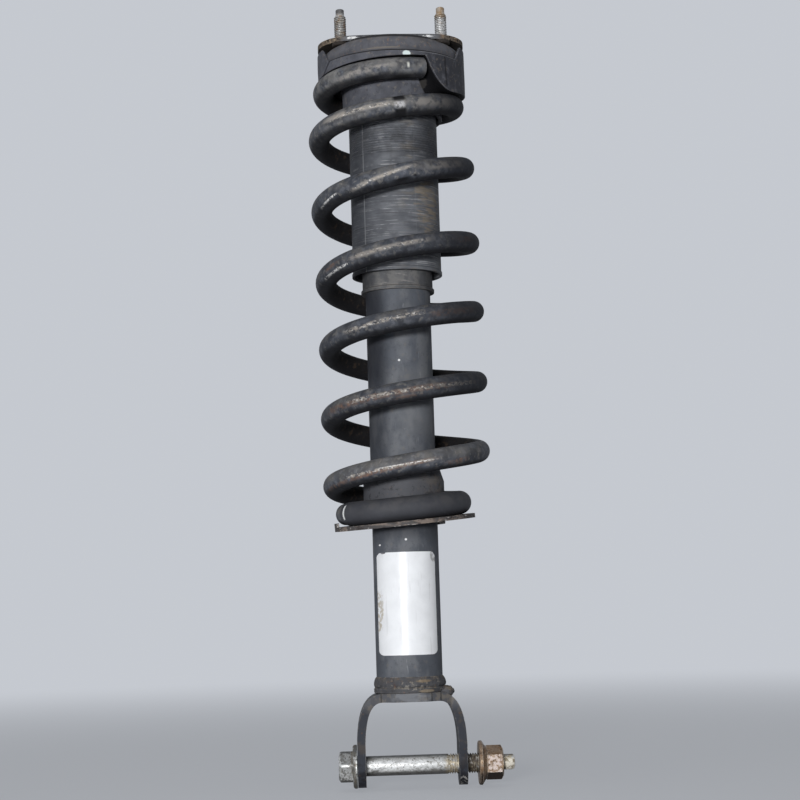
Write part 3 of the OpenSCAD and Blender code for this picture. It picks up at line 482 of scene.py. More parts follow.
def make_weld(name, profile, seed, beads):
    """A weld bead round the tube, whose section swells and ripples as the beads lie."""
    n = 288
    q = np.arange(n) * 2 * math.pi / n
    rows = []
    base = profile[0][0]
    for r, z in profile:
        p = around(r, q, z)
        proud = (r - base) / max(1e-6, max(a for a, _ in profile) - base)
        bulge = 0.35 * lumps(p, 14, seed) + 0.22 * lumps(p, 3.2, seed + 5)
        ripple = 0.12 * np.cos(beads * q + 1.5 * np.sin(3 * q))
        add = proud * (bulge + ripple - 0.25)
        zz = z + (0.5 * lumps(p, 9, seed + 9) if proud > 0.3 else 0) * (1 if z > profile[1][1] else 0)
        rr = np.maximum(r + add, base)
        rows.append(around(rr, q, zz))
    return mesh_object(name, np.concatenate(rows), ring_faces(len(rows), n), sharp=60)


def make_lump(name, place, size, seed):
    """A blob of weld metal: an uneven round form of the given half sizes."""
    rows, n, m = [], 28, 14
    q = np.arange(n) * 2 * math.pi / n
    for i in range(m + 1):
        a = math.pi * (0.03 + 0.94 * i / m)
        p = around(math.sin(a), q, -math.cos(a)) * np.array(size)
        rows.append(p * (1 + 0.16 * lumps(p, 3.2, seed) + 0.08 * lumps(p, 1.4, seed + 2))[:, None] + np.array(place))
    return mesh_object(name, np.concatenate(rows), capped(m + 1, n), sharp=60)


# ---------------------------------------------------------------- materials

NOISE_ROUGH = 0.55


def full(colour):
    """The finishes' colours are written in thousandths."""
    return tuple(c / 1000 for c in colour) + (1,)


class Finish:
    """One material's nodes. Places and sizes are in mm over the bolt axis, and every mask runs from 0 to 1."""

    def __init__(self, name, colour, rough, metal=0.0):
        self.material = bpy.data.materials.new(name)
        self.material.use_nodes = True
        self.tree = self.material.node_tree
        self.shader = self.tree.nodes["Principled BSDF"]
        self.shader.inputs["Metallic"].default_value = metal
        place = self.node("ShaderNodeTexCoord").outputs["Object"]
        self.at = self.vector("MULTIPLY_ADD", place, (1000, 1000, 1000), (0, 0, FACE))
        x, y, z = self.node("ShaderNodeSeparateXYZ", self.at).outputs
        self.at_x, self.at_z = x, z
        facing = self.node("ShaderNodeSeparateXYZ", self.node("ShaderNodeTexCoord").outputs["Normal"]).outputs
        # Each of these makes a mask: x(low, high) steps along X, up(low, high) by how far the surface faces up
        self.x, self.y, self.z, self.front, self.up = (partial(self.step, v) for v in (x, y, z, facing[1], facing[2]))
        self.colour, self.rough, self.height = full(colour), rough, None

    def node(self, kind, *values, **settings):
        return new_node(self.tree, kind, *values, **settings)

    def feed(self, socket, value):
        feed(self.tree, socket, value)

    def math(self, operation, *values):
        return self.node("ShaderNodeMath", *values, operation=operation).outputs[0]

    def vector(self, operation, *values):
        return self.node("ShaderNodeVectorMath", *values, operation=operation).outputs[0]

    def attribute(self, name):
        return self.node("ShaderNodeAttribute", attribute_name=name).outputs["Fac"]

    def step(self, value, low, high):
        """0 below low and 1 above high, or the other way round where low is the greater."""
        n = self.node("ShaderNodeMapRange", value, low, high, 0.0, 1.0, interpolation_type="SMOOTHSTEP")
        if low > high:
            n.inputs[1].default_value, n.inputs[2].default_value = high, low
            n.inputs[3].default_value, n.inputs[4].default_value = 1.0, 0.0
        return n.outputs[0]

    def noise(self, size, detail, seed, stretch=(1, 1, 1)):
        """Noise of about 0.2 to 0.8 in lumps of the given size, drawn out along the axes where stretch is above 1."""
        where = self.vector("MULTIPLY_ADD", self.at, tuple(1 / size / s for s in stretch),
                (seed, seed * 1.7, seed * 0.6))
        return self.node("ShaderNodeTexNoise", where, None, 1.0, detail, NOISE_ROUGH).outputs[0]

    def grain(self, size, detail, seed, low, high, stretch=(1, 1, 1)):
        """The lumps of a noise that stand above low to high, or below where low is the greater."""
        return self.step(self.noise(size, detail, seed, stretch), low, high)

    def near(self, value, middle, off, on):
        """0 where the value is off or more from the middle, 1 where it is on or less."""
        return self.step(self.math("ABSOLUTE", self.math("SUBTRACT", value, middle)), off, on)

    def both(self, *masks):
        out = masks[0]
        for m in masks[1:]:
            out = self.math("MULTIPLY", out, m)
        return out

    def either(self, *masks):
        out = masks[0]
        for m in masks[1:]:
            out = self.math("MAXIMUM", out, m)
        return out

    def spot(self, place, size, ragged, seed, lump):
        """A patch round a place, ragged in lumps; size is its half length on X, Y and Z."""
        off = self.vector("MULTIPLY_ADD", self.at, tuple(1 / s for s in size),
                tuple(-p / s for p, s in zip(place, size)))
        reach = self.node("ShaderNodeVectorMath", off, operation="LENGTH").outputs["Value"]
        wave = self.math("MULTIPLY_ADD", self.noise(lump, 3, seed), ragged * 2, -ragged)
        return self.step(self.math("ADD", reach, wave), 1.1, 0.75)

    def coat(self, mask, colour, rough, share):
        """Lays a colour and a roughness over what is there, where the mask is, or all masks of a tuple are."""
        if isinstance(mask, tuple):
            mask = self.both(*mask)
        mask = self.math("MULTIPLY", mask, share)
        n = self.node("ShaderNodeMix", mask, data_type="RGBA")
        self.feed(n.inputs[6], self.colour)
        self.feed(n.inputs[7], full(colour))
        self.colour = n.outputs[2]
        n = self.node("ShaderNodeMix", mask, data_type="FLOAT")
        self.feed(n.inputs[2], self.rough)
        self.feed(n.inputs[3], rough)
        self.rough = n.outputs[0]

    def shade(self, low, high, size, detail, seed, stretch=(1, 1, 1)):
        """Makes the colour darker and lighter in soft lumps."""
        n = self.node("ShaderNodeMapRange", self.noise(size, detail, seed, stretch), 0.3, 0.7, low, high)
        scaled = self.node("ShaderNodeMix", data_type="RGBA", blend_type="MULTIPLY")
        scaled.inputs[0].default_value = 1.0
        self.feed(scaled.inputs[6], self.colour)
        self.feed(scaled.inputs[7], n.outputs[0])
        self.colour = scaled.outputs[2]

    def raise_by(self, mask, mm):
        """Adds height, in mm, for the bump."""
        lift = self.math("MULTIPLY", mask, mm)
        self.height = lift if self.height is None else self.math("ADD", self.height, lift)
        return self

    def edge(self, radius):
        """Where the surface bends sharply outward within a radius in mm."""
        bent = self.node("ShaderNodeBevel", samples=4)
        bent.inputs[0].default_value = radius * MM
        flat = self.node("ShaderNodeNewGeometry").outputs["Normal"]
        dot = self.node("ShaderNodeVectorMath", bent.outputs[0], flat, operation="DOT_PRODUCT").outputs["Value"]
        return self.step(dot, 0.985, 0.9)

    def done(self, specular=0.2):
        s = self.shader.inputs
        s["Specular IOR Level"].default_value = specular
        self.feed(s["Base Color"], self.colour)
        self.feed(s["Roughness"], self.rough)
        if self.height is not None:
            bump = self.node("ShaderNodeBump")
            bump.inputs["Strength"].default_value = 1.0
            bump.inputs["Distance"].default_value = MM
            self.feed(bump.inputs["Height"], self.height)
            self.tree.links.new(bump.outputs[0], s["Normal"])
        return self.material


TAN, RUST_DARK, BRIGHT = (240, 190, 130), (75, 35, 18), (800, 800, 790)


def streak(f, turn, top, t0, a, t1, b, half, fade=0.02):
    """A band along the wire from turn t0 and top a to turn t1 and top b; top is -1 under the wire and 1 over it."""
    slope = (b - a) / (t1 - t0)
    line = f.math("MULTIPLY_ADD", turn, slope, a - slope * t0)
    off = f.math("ABSOLUTE", f.math("SUBTRACT", top, line))
    return f.both(f.step(off, half, half * 0.25), f.step(turn, t0 - fade, t0 + fade),
            f.step(turn, t1 + fade, t1 - fade))


def spring_paint():
    """Worn black paint under road dust, with rubbed streaks along the coils' outer faces, rust in places, and painted
    shade inside the coils, under them and on their right side.
    """
    f = Finish("spring_paint_worn", (60, 66, 80), 0.55)
    turn, top, side = f.attribute("turn"), f.attribute("top"), f.attribute("side")
    outer, upper = f.step(side, -0.15, 0.35), f.step(top, -0.5, 0.5)

    def streaks(*bands):
        return f.either(*(streak(f, turn, top, *band) for band in bands))

    f.shade(0.5, 1.5, 9, 5, 2)
    f.coat((upper, f.grain(13, 5, 5, 0.42, 0.6)), (150, 143, 135), 0.72, 0.6)
    f.coat(f.grain(5, 5, 9, 0.49, 0.62), (160, 168, 190), 0.66, 0.42)
    f.coat((f.step(turn, 5.6, 6.3), f.grain(8, 5, 8, 0.4, 0.56)), (165, 162, 158), 0.7, 0.55)
    f.coat(f.grain(9, 4, 13, 0.5, 0.66), (30, 32, 40), 0.5, 0.62)
    f.coat((outer, f.grain(4.2, 6, 11, 0.54, 0.68)), (270, 255, 230), 0.7, 0.4)
    f.coat((f.step(turn, 6.98, 7.04), f.grain(9, 4, 18, 0.5, 0.68, (1.6, 1.6, 1))), (260, 260, 255), 0.6, 0.5)
    fine = f.grain(2.1, 4, 12, 0.44, 0.58, (1.6, 1.6, 1))
    patchy = f.grain(7, 5, 14, 0.38, 0.54)
    # Tan and rubbed streaks, coil by coil from the top
    tan = streaks(
        (7.0956, -0.4, 7.2156, 0.05, 0.34), (6.0556, 0.22, 6.2356, 0.15, 0.38),
        (6.2556, 0.1, 6.3556, 0.0, 0.6), (5.1156, -0.6, 5.2356, 0.38, 0.3),
        (5.2756, 0.1, 5.3556, 0.2, 0.5), (4.1156, -0.1, 4.2656, 0.22, 0.34))
    f.coat((tan, patchy), (300, 282, 262), 0.6, 0.72)
    rubbed = streaks(
        (6.0756, 0.05, 6.2056, 0.22, 0.26), (5.1256, -0.5, 5.2356, 0.33, 0.2),
        (4.1156, -0.05, 4.2556, 0.18, 0.22), (3.0956, -0.08, 3.2456, 0.25, 0.28),
        (2.0956, 0.02, 2.3556, 0.03, 0.26), (1.0856, -0.2, 1.2556, 0.02, 0.2))
    rust = streaks(
        (2.0256, -0.1, 2.2956, 0.02, 0.42), (1.0056, -0.7, 1.2556, 0.05, 0.26),
        (1.2856, -0.5, 1.3256, -0.35, 0.32), (4.3356, 0.02, 4.3756, 0.15, 0.4),
        (3.2656, -0.05, 3.3656, 0.1, 0.42), (4.0456, -0.1, 4.0756, 0.1, 0.3),
        (2.1856, -0.55, 2.2256, -0.5, 0.2))
    f.coat((rust, f.grain(4.5, 5, 21, 0.38, 0.58)), (155, 105, 85), 0.72, 0.75)
    f.coat((rust, f.grain(2.6, 4, 23, 0.54, 0.66)), (220, 125, 85), 0.7, 0.7)
    f.coat((rubbed, fine), (360, 325, 285), 0.5, 0.8)
    f.coat((rubbed, f.grain(1.6, 3, 19, 0.55, 0.64, (1.5, 1.5, 1))), (620, 600, 570), 0.36, 0.8)
    # Bright metal where a coil was knocked
    knocked = streaks(
        (5.0256, -0.74, 5.0836, -0.36, 0.13, 0.008), (4.0236, -0.7, 4.1006, -0.42, 0.15, 0.008),
        (1.1606, 0.0, 1.2506, 0.0, 0.06))
    f.coat((knocked, f.grain(1.5, 3, 17, 0.42, 0.54)), BRIGHT, 0.34, 0.95)
    # Dark blots, the glossy black paint band on the second coil and the whitish dab on the first
    blots = streaks(
        (7.1456, -0.93, 7.1856, -0.9, 0.2, 0.01), (7.2156, -0.97, 7.2556, -0.95, 0.2, 0.01),
        (5.2431, -0.5, 5.2481, -0.5, 0.17, 0.004), (5.2056, -0.72, 5.2356, -0.66, 0.2, 0.01))
    band = f.both(streaks((6.2146, 0.66, 6.2402, 0.66, 0.46, 0.004), (6.2146, -0.72, 6.238, -0.72, 0.55, 0.004)),
                  f.grain(3.4, 4, 41, 0.22, 0.34))
    f.coat(f.either(blots, band), (5, 5, 6), 0.55, 0.97)
    f.coat((streaks((6.2166, -0.05, 6.2356, -0.02, 0.42, 0.005)), f.grain(2, 3, 43, 0.34, 0.5)), (500, 500, 520), 0.4,
            0.8)
    f.coat(streaks((7.2461, 0.0, 7.2501, 0.0, 0.36, 0.0025)), (700, 700, 640), 0.5, 0.9)
    # Painted shade on the right side, the dusty lowest coil and the darker coils between
    f.coat((f.x(10, 50), f.step(turn, 7.1, 6.9), f.step(turn, 1.4, 1.7)), (16, 17, 22), 0.78, 0.74)
    f.coat((f.step(turn, 1.45, 1.3), upper), (185, 178, 170), 0.72, 0.28)
    f.coat((f.step(turn, 5.3, 4.8), f.step(turn, 1.3, 1.8)), (26, 27, 31), 0.7, 0.26)
    # Painted shade inside the coils and under them, with brown grime in patches inside
    f.coat(f.step(side, 0.1, -0.4), (8, 7, 7), 0.85, 0.92)
    f.coat((f.step(side, 0.1, -0.3), f.grain(5, 5, 31, 0.54, 0.66)), (60, 42, 30), 0.8, 0.5)
    f.coat(f.step(top, -0.4, -0.85), (12, 12, 14), 0.8, 0.86)
    pits = f.grain(1.3, 2, 3, 0.34, 0.24)
    f.raise_by(pits, -0.12).raise_by(f.noise(3.5, 4, 6), 0.16).raise_by(f.both(rust, f.noise(1.6, 3, 7)), 0.2)
    f.coat((pits, outer), (30, 28, 26), 0.8, 0.5)
    return f.done(0.1)


def black_paint():
    """Satin black paint with a blue cast: dusty, rubbed along its edges, chipped here and there, with painted shade and
    light on stretches of the tube.
    """
    f = Finish("black_paint_satin", (82, 90, 106), 0.6)
    f.shade(0.8, 1.2, 24, 4, 3)
    f.coat(f.grain(15, 6, 8, 0.44, 0.64, (1, 1, 2.0)), (170, 176, 188), 0.68, 0.5)
    f.coat(f.grain(5, 4, 11, 0.58, 0.72), TAN, 0.7, 0.14)
    f.coat(f.grain(3.2, 5, 12, 0.56, 0.66), (50, 54, 64), 0.6, 0.3)
    # Painted shade on the tube's left side and just under the seat, and painted light on a stretch right of its middle
    f.coat((f.x(-6, -20), f.z(215, 240)), (14, 15, 20), 0.7, 0.55)
    f.coat((f.x(-6, -20), f.z(300, 318)), (12, 13, 18), 0.7, 0.6)
    f.coat((f.z(176, 190), f.z(206, 200)), (26, 28, 34), 0.65, 0.62)
    f.coat((f.x(-10, 6), f.z(255, 275), f.z(330, 310)), (185, 190, 200), 0.66, 0.35)
    fork = f.z(64, 56)
    f.coat(fork, (24, 27, 36), 0.6, 0.9)
    f.coat((fork, f.grain(11, 5, 15, 0.52, 0.66)), (85, 70, 58), 0.75, 0.5)
    f.coat((fork, f.grain(3, 3, 16, 0.64, 0.72)), (150, 75, 35), 0.8, 0.45)
    f.coat((fork, f.z(20, -6), f.grain(5, 5, 17, 0.36, 0.56)), (14, 14, 17), 0.6, 0.8)
    f.coat((fork, f.edge(1.0), f.grain(6, 4, 18, 0.36, 0.56)), (240, 230, 220), 0.5, 0.6)
    # The bridge's front edge is rubbed brighter, with dark scores; the right leg's end is chipped
    f.coat((fork, f.z(42, 52)), (105, 108, 118), 0.6, 0.75)
    f.coat((fork, f.z(40, 52), f.grain(5, 5, 26, 0.48, 0.62)), (200, 175, 145), 0.7, 0.5)
    for x in (-24.0, 16.5, 24.0):
        f.coat((f.near(f.at_x, x, 0.9, 0.3), fork, f.z(49, 50), f.y(-15, -25)), (18, 18, 20), 0.6, 0.75)
    f.coat((f.spot((0, -31, 55), (22, 5, 5), 0.25, 4, 5), f.grain(3.4, 4, 24, 0.36, 0.58, (3, 1, 1))), (190, 200, 220),
            0.5, 0.6)
    chip = f.spot((41, -8, -13), (7, 12, 7), 0.5, 9, 3)
    f.coat(chip, (10, 10, 12), 0.7, 0.7)
    f.coat((chip, f.grain(2.0, 4, 25, 0.52, 0.6)), (300, 290, 280), 0.6, 0.8)
    # Flecks of pale overspray and fine rubs on the tube
    f.coat(f.grain(2.2, 1, 27, 0.8, 0.84), (450, 450, 470), 0.5, 0.8)
    f.coat((f.grain(1.6, 2, 29, 0.66, 0.74, (1, 1, 9)), f.grain(24, 2, 30, 0.5, 0.62)), (270, 280, 300), 0.5, 0.45)
    for p, r in (((-0.4, -27, 181.5), 1.0), ((-21.4, -16.5, 177.8), 0.8), ((-1.4, -27, 327.8), 1.0)):
        f.coat(f.spot(p, (r, 4, r), 0.2, 5, 1.0), (800, 800, 810), 0.5, 0.85)
    f.raise_by(f.noise(1.2, 3, 5), 0.035).raise_by(f.noise(7, 3, 6), 0.12)
    return f.done(0.12)


def rusty(name, base, rough, rust_from, seed, dust, bright, edge=0.9):
    """Painted or bare steel that has rusted in patches and is rubbed bright on its edges."""
    f = Finish(name, base, rough)
    f.shade(0.75, 1.25, 8, 4, seed)
    f.coat(f.grain(10, 5, seed + 1, rust_from, rust_from + 0.14), RUST_DARK, 0.85, 0.9)
    f.coat(f.grain(4, 5, seed + 2, rust_from + 0.06, rust_from + 0.18), (170, 85, 45), 0.85, 0.8)
    f.coat(f.grain(2.2, 3, seed + 3, 0.62, 0.7), (300, 140, 50), 0.85, 0.5)
    f.coat((f.up(0.1, 0.8), f.grain(7, 4, seed + 4, 0.4, 0.6)), TAN, 0.85, dust)
    f.coat((f.edge(edge), f.grain(3.5, 4, seed + 5, 0.42, 0.56)), (550, 520, 480), 0.45, bright)
    f.raise_by(f.noise(1.4, 4, seed + 6), 0.1).raise_by(f.noise(5, 3, seed + 7), 0.12)
    return f


def weld_steel():
    f = rusty("weld_bead_rusty", (70, 70, 76), 0.7, 0.62, 31, dust=0.45, bright=0.35, edge=0.6)
    f.coat(f.grain(9, 4, 51, 0.44, 0.62), (62, 64, 72), 0.7, 0.7)
    f.coat(f.grain(3, 4, 52, 0.56, 0.7), (250, 230, 195), 0.8, 0.6)
    f.coat(f.grain(2.2, 4, 53, 0.58, 0.68), (22, 21, 22), 0.7, 0.7)
    f.coat((f.spot((3, -28, 63), (13, 8, 2.6), 0.5, 4, 4), f.grain(2.6, 4, 54, 0.46, 0.6)), (280, 260, 230), 0.7, 0.65)
    f.coat(f.spot((14, -27, 60), (9, 6, 1.4), 0.3, 4, 3), (270, 220, 155), 0.7, 0.6)
    f.coat(f.spot((11, -27, 68), (8, 6, 1.2), 0.4, 4, 3), (250, 190, 120), 0.7, 0.6)
    return f.done()


def seat_steel():
    """The spring seat: rusty grey-brown rim with bright scratches, dark grey neck with dust."""
    f = rusty("seat_steel_rusty", (75, 75, 82), 0.6, 0.6, 61, dust=0.2, bright=0.3)
    rim = f.z(210, 203)
    f.coat(rim, (62, 57, 56), 0.7, 0.85)
    f.coat((rim, f.grain(5, 5, 66, 0.48, 0.62, (2.5, 2, 1))), (210, 170, 145), 0.6, 0.75)
    f.coat((rim, f.grain(3.2, 5, 67, 0.52, 0.62, (2, 1, 1))), (35, 28, 26), 0.8, 0.8)
    f.coat((rim, f.grain(1.8, 4, 68, 0.6, 0.68, (4, 2, 1))), (550, 520, 500), 0.4, 0.8)
    neck = f.z(205, 212)
    f.coat(neck, (70, 73, 83), 0.66, 0.8)
    f.coat((neck, f.x(5, 30), f.grain(6, 5, 69, 0.42, 0.6)), (150, 125, 100), 0.8, 0.45)
    f.coat((neck, f.grain(4, 5, 70, 0.55, 0.65)), (28, 28, 31), 0.7, 0.6)
    return f.done()


def mount_steel():
    """The mount plate: painted shade under it, bright rubs along its front edge and brown rust at the corners."""
    f = rusty("mount_steel_dark", (60, 61, 67), 0.5, 0.56, 71, dust=0.3, bright=0.25)
    plate = f.z(594.5, 595.8)
    corners = f.both(plate, f.step(f.math("ABSOLUTE", f.at_x), 34, 48))
    f.coat(corners, (125, 98, 72), 0.8, 0.75)
    f.coat((corners, f.grain(3, 5, 76, 0.5, 0.62)), (300, 235, 165), 0.8, 0.7)
    f.coat((corners, f.grain(2.6, 4, 77, 0.52, 0.62)), (12, 10, 9), 0.8, 0.9)
    front = f.both(plate, f.step(f.math("ABSOLUTE", f.at_x), 44, 36))
    f.coat(front, (135, 140, 152), 0.5, 0.85)
    f.coat((front, f.grain(3.2, 5, 78, 0.5, 0.62, (3, 1, 1))), (34, 35, 40), 0.6, 0.8)
    f.coat((front, f.z(599.0, 599.6)), (25, 25, 28), 0.6, 0.6)
    for x, w in ((-32.5, 6), (31, 5)):
        f.coat((f.spot((x, -35, 598.2), (w, 8, 1.1), 0.4, 5, 2.5), f.grain(1.6, 3, 79, 0.38, 0.5)), (750, 760, 770),
                0.4, 0.9)
    # Painted shade on the faces that look down
    f.coat(f.up(-0.3, -0.8), (14, 12, 11), 0.9, 0.92)
    return f.done()


def isolator_rubber():
    """Hard rubber, blue-grey under dust, with a pale ink mark, and painted shade at the right, in its folds, under it
    and, near black, in its groove.
    """
    f = Finish("isolator_rubber_dusty", (75, 78, 92), 0.6)
    f.shade(0.8, 1.2, 12, 4, 81)
    f.coat(f.grain(9, 5, 82, 0.42, 0.66), (125, 130, 150), 0.66, 0.5)
    # Painted shade on the right side
    f.coat((f.x(22, 29), f.grain(7, 5, 80, 0.34, 0.5)), (30, 31, 37), 0.6, 0.75)
    f.coat(f.grain(3.4, 5, 83, 0.56, 0.66), (220, 190, 155), 0.8, 0.3)
    f.coat(f.grain(2.4, 5, 86, 0.57, 0.66), (40, 40, 45), 0.6, 0.45)
    f.coat(f.spot((-38, -49, 590), (18, 14, 4), 0.4, 5, 5), TAN, 0.8, 0.4)
    f.coat(f.spot((11.5, -61, 575), (3.5, 6, 2.6), 0.12, 6, 2), (680, 780, 780), 0.5, 0.9)
    # Painted shade along the folds at both sides of the front
    for a, b in (((-60.5, 563), (-51, 579)), ((43.5, 575), (44.5, 553))):
        slope = (b[0] - a[0]) / (b[1] - a[1])
        off = f.math("SUBTRACT", f.at_x, f.math("MULTIPLY_ADD", f.at_z, slope, a[0] - slope * a[1]))
        f.coat((f.step(f.math("ABSOLUTE", off), 1.1, 0.4), f.z(min(a[1], b[1]) - 2, min(a[1], b[1]) + 1), f.y(-2, -8)),
                (14, 14, 17), 0.7, 0.7)
    # Painted shade under it and in the groove, and a rubbed edge at the right
    flat = f.vector("MULTIPLY", f.at, (1, 1, 0))
    reach = f.node("ShaderNodeVectorMath", flat, operation="LENGTH").outputs["Value"]
    groove_shade = f.both(f.step(reach, 61.2, 60.2), f.step(reach, 42.2, 43.5), f.z(578, 576))
    f.coat(f.up(-0.35, -0.8), (20, 20, 23), 0.7, 0.85)
    f.coat(groove_shade, (4, 4, 5), 0.85, 0.97)
    f.coat(f.spot((25, -42, 556), (3.4, 14, 4.2), 0.5, 3, 5), (80, 74, 68), 0.8, 0.3)
    f.coat((f.edge(0.9), f.x(20, 24), f.step(reach, 59.5, 60.5)), (190, 195, 210), 0.6, 0.7)
    f.raise_by(f.noise(2, 3, 84), 0.04)
    return f.done(0.1)


def cup_steel():
    """The cup's dark coat: dusty, with a tan ridge in front, and painted shade low on the rim, at the rim's foot and
    under the plate.
    """
    f = rusty("cup_steel_coated", (76, 79, 92), 0.6, 0.74, 87, dust=0.2, bright=0.12)
    f.coat(f.grain(10, 5, 88, 0.42, 0.62), (125, 126, 140), 0.6, 0.5)
    f.coat(f.grain(3, 5, 89, 0.56, 0.66), (200, 175, 145), 0.8, 0.35)
    f.coat(f.spot((-8, -60, 580.8), (17, 14, 0.8), 0.4, 5, 5), (240, 205, 165), 0.75, 0.6)
    # Painted shade low on the rim, at the rim's foot, next to the plate and on the faces that look down
    f.coat(f.z(584, 579.6), (50, 50, 56), 0.6, 0.5)
    f.coat(f.either(f.z(579.6, 578.8), f.z(590.4, 591.6)), (8, 8, 9), 0.8, 0.92)
    f.coat(f.up(-0.4, -0.9), (14, 13, 13), 0.9, 0.9)
    return f.done()


def zinc(name, base, seed, brown=0.3, pits=0.35, metal=0.35):
    """Zinc-plated steel, dulled, with dark pits, drawn brown stains and painted shade on its undersides."""
    f = Finish(name, base, 0.36, metal)
    f.shade(0.75, 1.18, 5, 5, seed)
    f.coat(f.grain(2.4, 5, seed + 1, 0.56, 0.66, (2.5, 1, 1)), (170, 165, 155), 0.6, 0.6)
    f.coat(f.grain(1.1, 3, seed + 2, 0.63, 0.68), (35, 32, 30), 0.7, pits)
    f.coat(f.grain(4, 4, seed + 3, 0.56, 0.68), (300, 220, 120), 0.6, brown)
    # Painted shade on the faces that look down
    f.coat(f.up(-0.15, -0.65), (60, 55, 50), 0.6, 0.7)
    f.raise_by(f.noise(1.2, 3, seed + 4), 0.05)
    return f


def bolt_steel():
    f = zinc("bolt_zinc_dulled", (600, 610, 610), 91, brown=0.15, pits=0.9)
    f.coat((f.grain(1.7, 5, 94, 0.56, 0.62, (1.6, 1, 1)), f.grain(9, 3, 93, 0.4, 0.56)), (130, 115, 90), 0.6, 0.75)
    f.coat((f.x(-27, -36), f.x(-39, -36)), (90, 88, 80), 0.6, 0.7)
    f.coat((f.x(24, 30), f.grain(3, 5, 96, 0.36, 0.56)), (420, 330, 180), 0.45, 0.62)
    f.coat((f.x(44, 46), f.x(62, 58), f.grain(3, 5, 100, 0.36, 0.54)), (45, 32, 26), 0.7, 0.85)
    # Painted highlight on the shank's side that faces front
    f.coat((f.x(-40, -36), f.x(20, 10), f.front(-0.72, -0.92), f.grain(2.2, 5, 97, 0.4, 0.56, (2, 1, 1))),
            (900, 910, 910), 0.36, 0.6)
    f.coat(f.grain(1.3, 4, 92, 0.6, 0.67), (50, 46, 40), 0.7, 0.85)
    f.coat(f.grain(3.6, 5, 89, 0.56, 0.68), (260, 250, 230), 0.55, 0.6)
    # Painted shade on the head's upper facets, the shank's top and the faces that look down
    f.coat((f.up(0.35, 0.75), f.x(-38, -42)), (45, 47, 50), 0.6, 0.85)
    f.coat((f.up(0.7, 0.95), f.x(-42, -38)), (75, 77, 80), 0.6, 0.8)
    f.coat(f.up(-0.35, -0.75), (28, 27, 26), 0.65, 0.6)
    f.coat((f.x(72, 75), f.edge(0.8)), (60, 50, 35), 0.7, 0.8)
    f.coat((f.x(75, 76.5), f.up(0.7, 0.3)), (900, 850, 740), 0.3, 0.85)
    f.coat((f.x(74, 75), f.grain(2.4, 4, 90, 0.52, 0.62)), (170, 130, 70), 0.5, 0.8)
    f.coat((f.x(-45.2, -46.2), f.x(-50, -49), f.grain(5, 4, 95, 0.4, 0.55)), (100, 80, 55), 0.6, 0.7)
    head = f.x(-44.4, -44.8)
    f.coat((head, f.grain(3.4, 5, 98, 0.5, 0.62)), (110, 108, 100), 0.6, 0.7)
    f.coat((head, f.grain(1.6, 4, 99, 0.56, 0.64)), (30, 28, 26), 0.6, 0.8)
    return f.done()


def nut_steel():
    f = zinc("nut_bronze_rusty", (230, 165, 115), 101, brown=0.4, pits=0.5, metal=0.4)
    f.coat(f.grain(4, 5, 106, 0.46, 0.62), (170, 98, 48), 0.7, 0.7)
    f.coat(f.grain(2.6, 5, 107, 0.54, 0.66), (30, 18, 12), 0.8, 0.7)
    # Painted shade on the faces that look down
    f.coat(f.up(-0.2, -0.6), (16, 12, 10), 0.8, 0.88)
    # Painted light on the flat that faces front
    f.coat((f.x(60.5, 61.6), f.x(72.4, 71.4), f.front(-0.95, -0.985), f.grain(2.6, 5, 108, 0.42, 0.56)),
            (500, 430, 400), 0.34, 0.85)
    f.coat(f.grain(1.5, 4, 110, 0.6, 0.68), (55, 32, 18), 0.8, 0.75)
    f.coat((f.edge(1.0), f.grain(3, 4, 109, 0.36, 0.52)), (560, 480, 400), 0.4, 0.75)
    return f.done()


def stud_steel():
    f = zinc("stud_zinc_rusty", (400, 395, 385), 111, brown=0.45, pits=0.6)
    f.coat(f.grain(4.0, 5, 116, 0.52, 0.64), (220, 125, 60), 0.75, 0.6)
    f.coat((f.x(10, 20), f.z(614, 618)), (330, 215, 105), 0.45, 0.5)
    f.coat((f.x(10, 20), f.z(616, 612), f.grain(2.2, 4, 117, 0.36, 0.5)), (660, 670, 680), 0.3, 0.6)
    f.coat((f.x(-10, -20), f.z(619, 622)), (45, 45, 50), 0.6, 0.8)
    f.coat(f.z(601.5, 600), (200, 110, 55), 0.8, 0.5)
    # Painted shade on the heads under the plate
    f.coat(f.z(597, 596), (14, 12, 11), 0.9, 0.93)
    return f.done(0.3)


def shield_plastic():
    """Black plastic gone grey, scuffed round in fine lines, dusty tan low on the right."""
    f = Finish("shield_plastic_scuffed", (85, 90, 102), 0.6)
    f.shade(0.75, 1.25, 18, 5, 121)
    f.coat(f.grain(16, 5, 122, 0.4, 0.66, (1, 1, 0.6)), (160, 168, 185), 0.62, 0.55)
    lines = f.grain(2.4, 5, 123, 0.54, 0.64, (16, 16, 0.4))
    f.coat((lines, f.grain(9, 4, 120, 0.38, 0.58)), (360, 365, 380), 0.55, 0.62)
    f.coat(f.grain(3.0, 5, 124, 0.57, 0.67, (12, 12, 0.35)), (32, 33, 38), 0.6, 0.65)
    f.coat((f.spot((27, -26, 458), (13, 16, 24), 0.7, 7, 7), f.grain(2.6, 5, 126, 0.4, 0.62, (5, 5, 0.8))),
            (225, 185, 135), 0.8, 0.7)
    f.coat((f.grain(5, 5, 127, 0.54, 0.68, (3, 3, 1)), f.x(-5, 15)), (190, 160, 120), 0.8, 0.35)
    # Painted shade on the left side and high on the right side
    f.coat(f.either(f.x(-10, -32), f.both(f.x(12, 30), f.z(465, 485))), (22, 24, 30), 0.65, 0.7)
    # Mould seams
    for x, share in ((-26.0, 0.55), (16.0, 0.15)):
        f.coat((f.near(f.at_x, x, 0.55, 0.2), f.y(0, -5)), (200, 205, 215), 0.5, share)
    # Old grease on the grooves
    f.coat((f.z(496, 501), f.grain(7, 4, 129, 0.42, 0.6)), (45, 45, 48), 0.4, 0.45)
    f.raise_by(lines, 0.05).raise_by(f.noise(2, 3, 128), 0.04)
    return f.done()


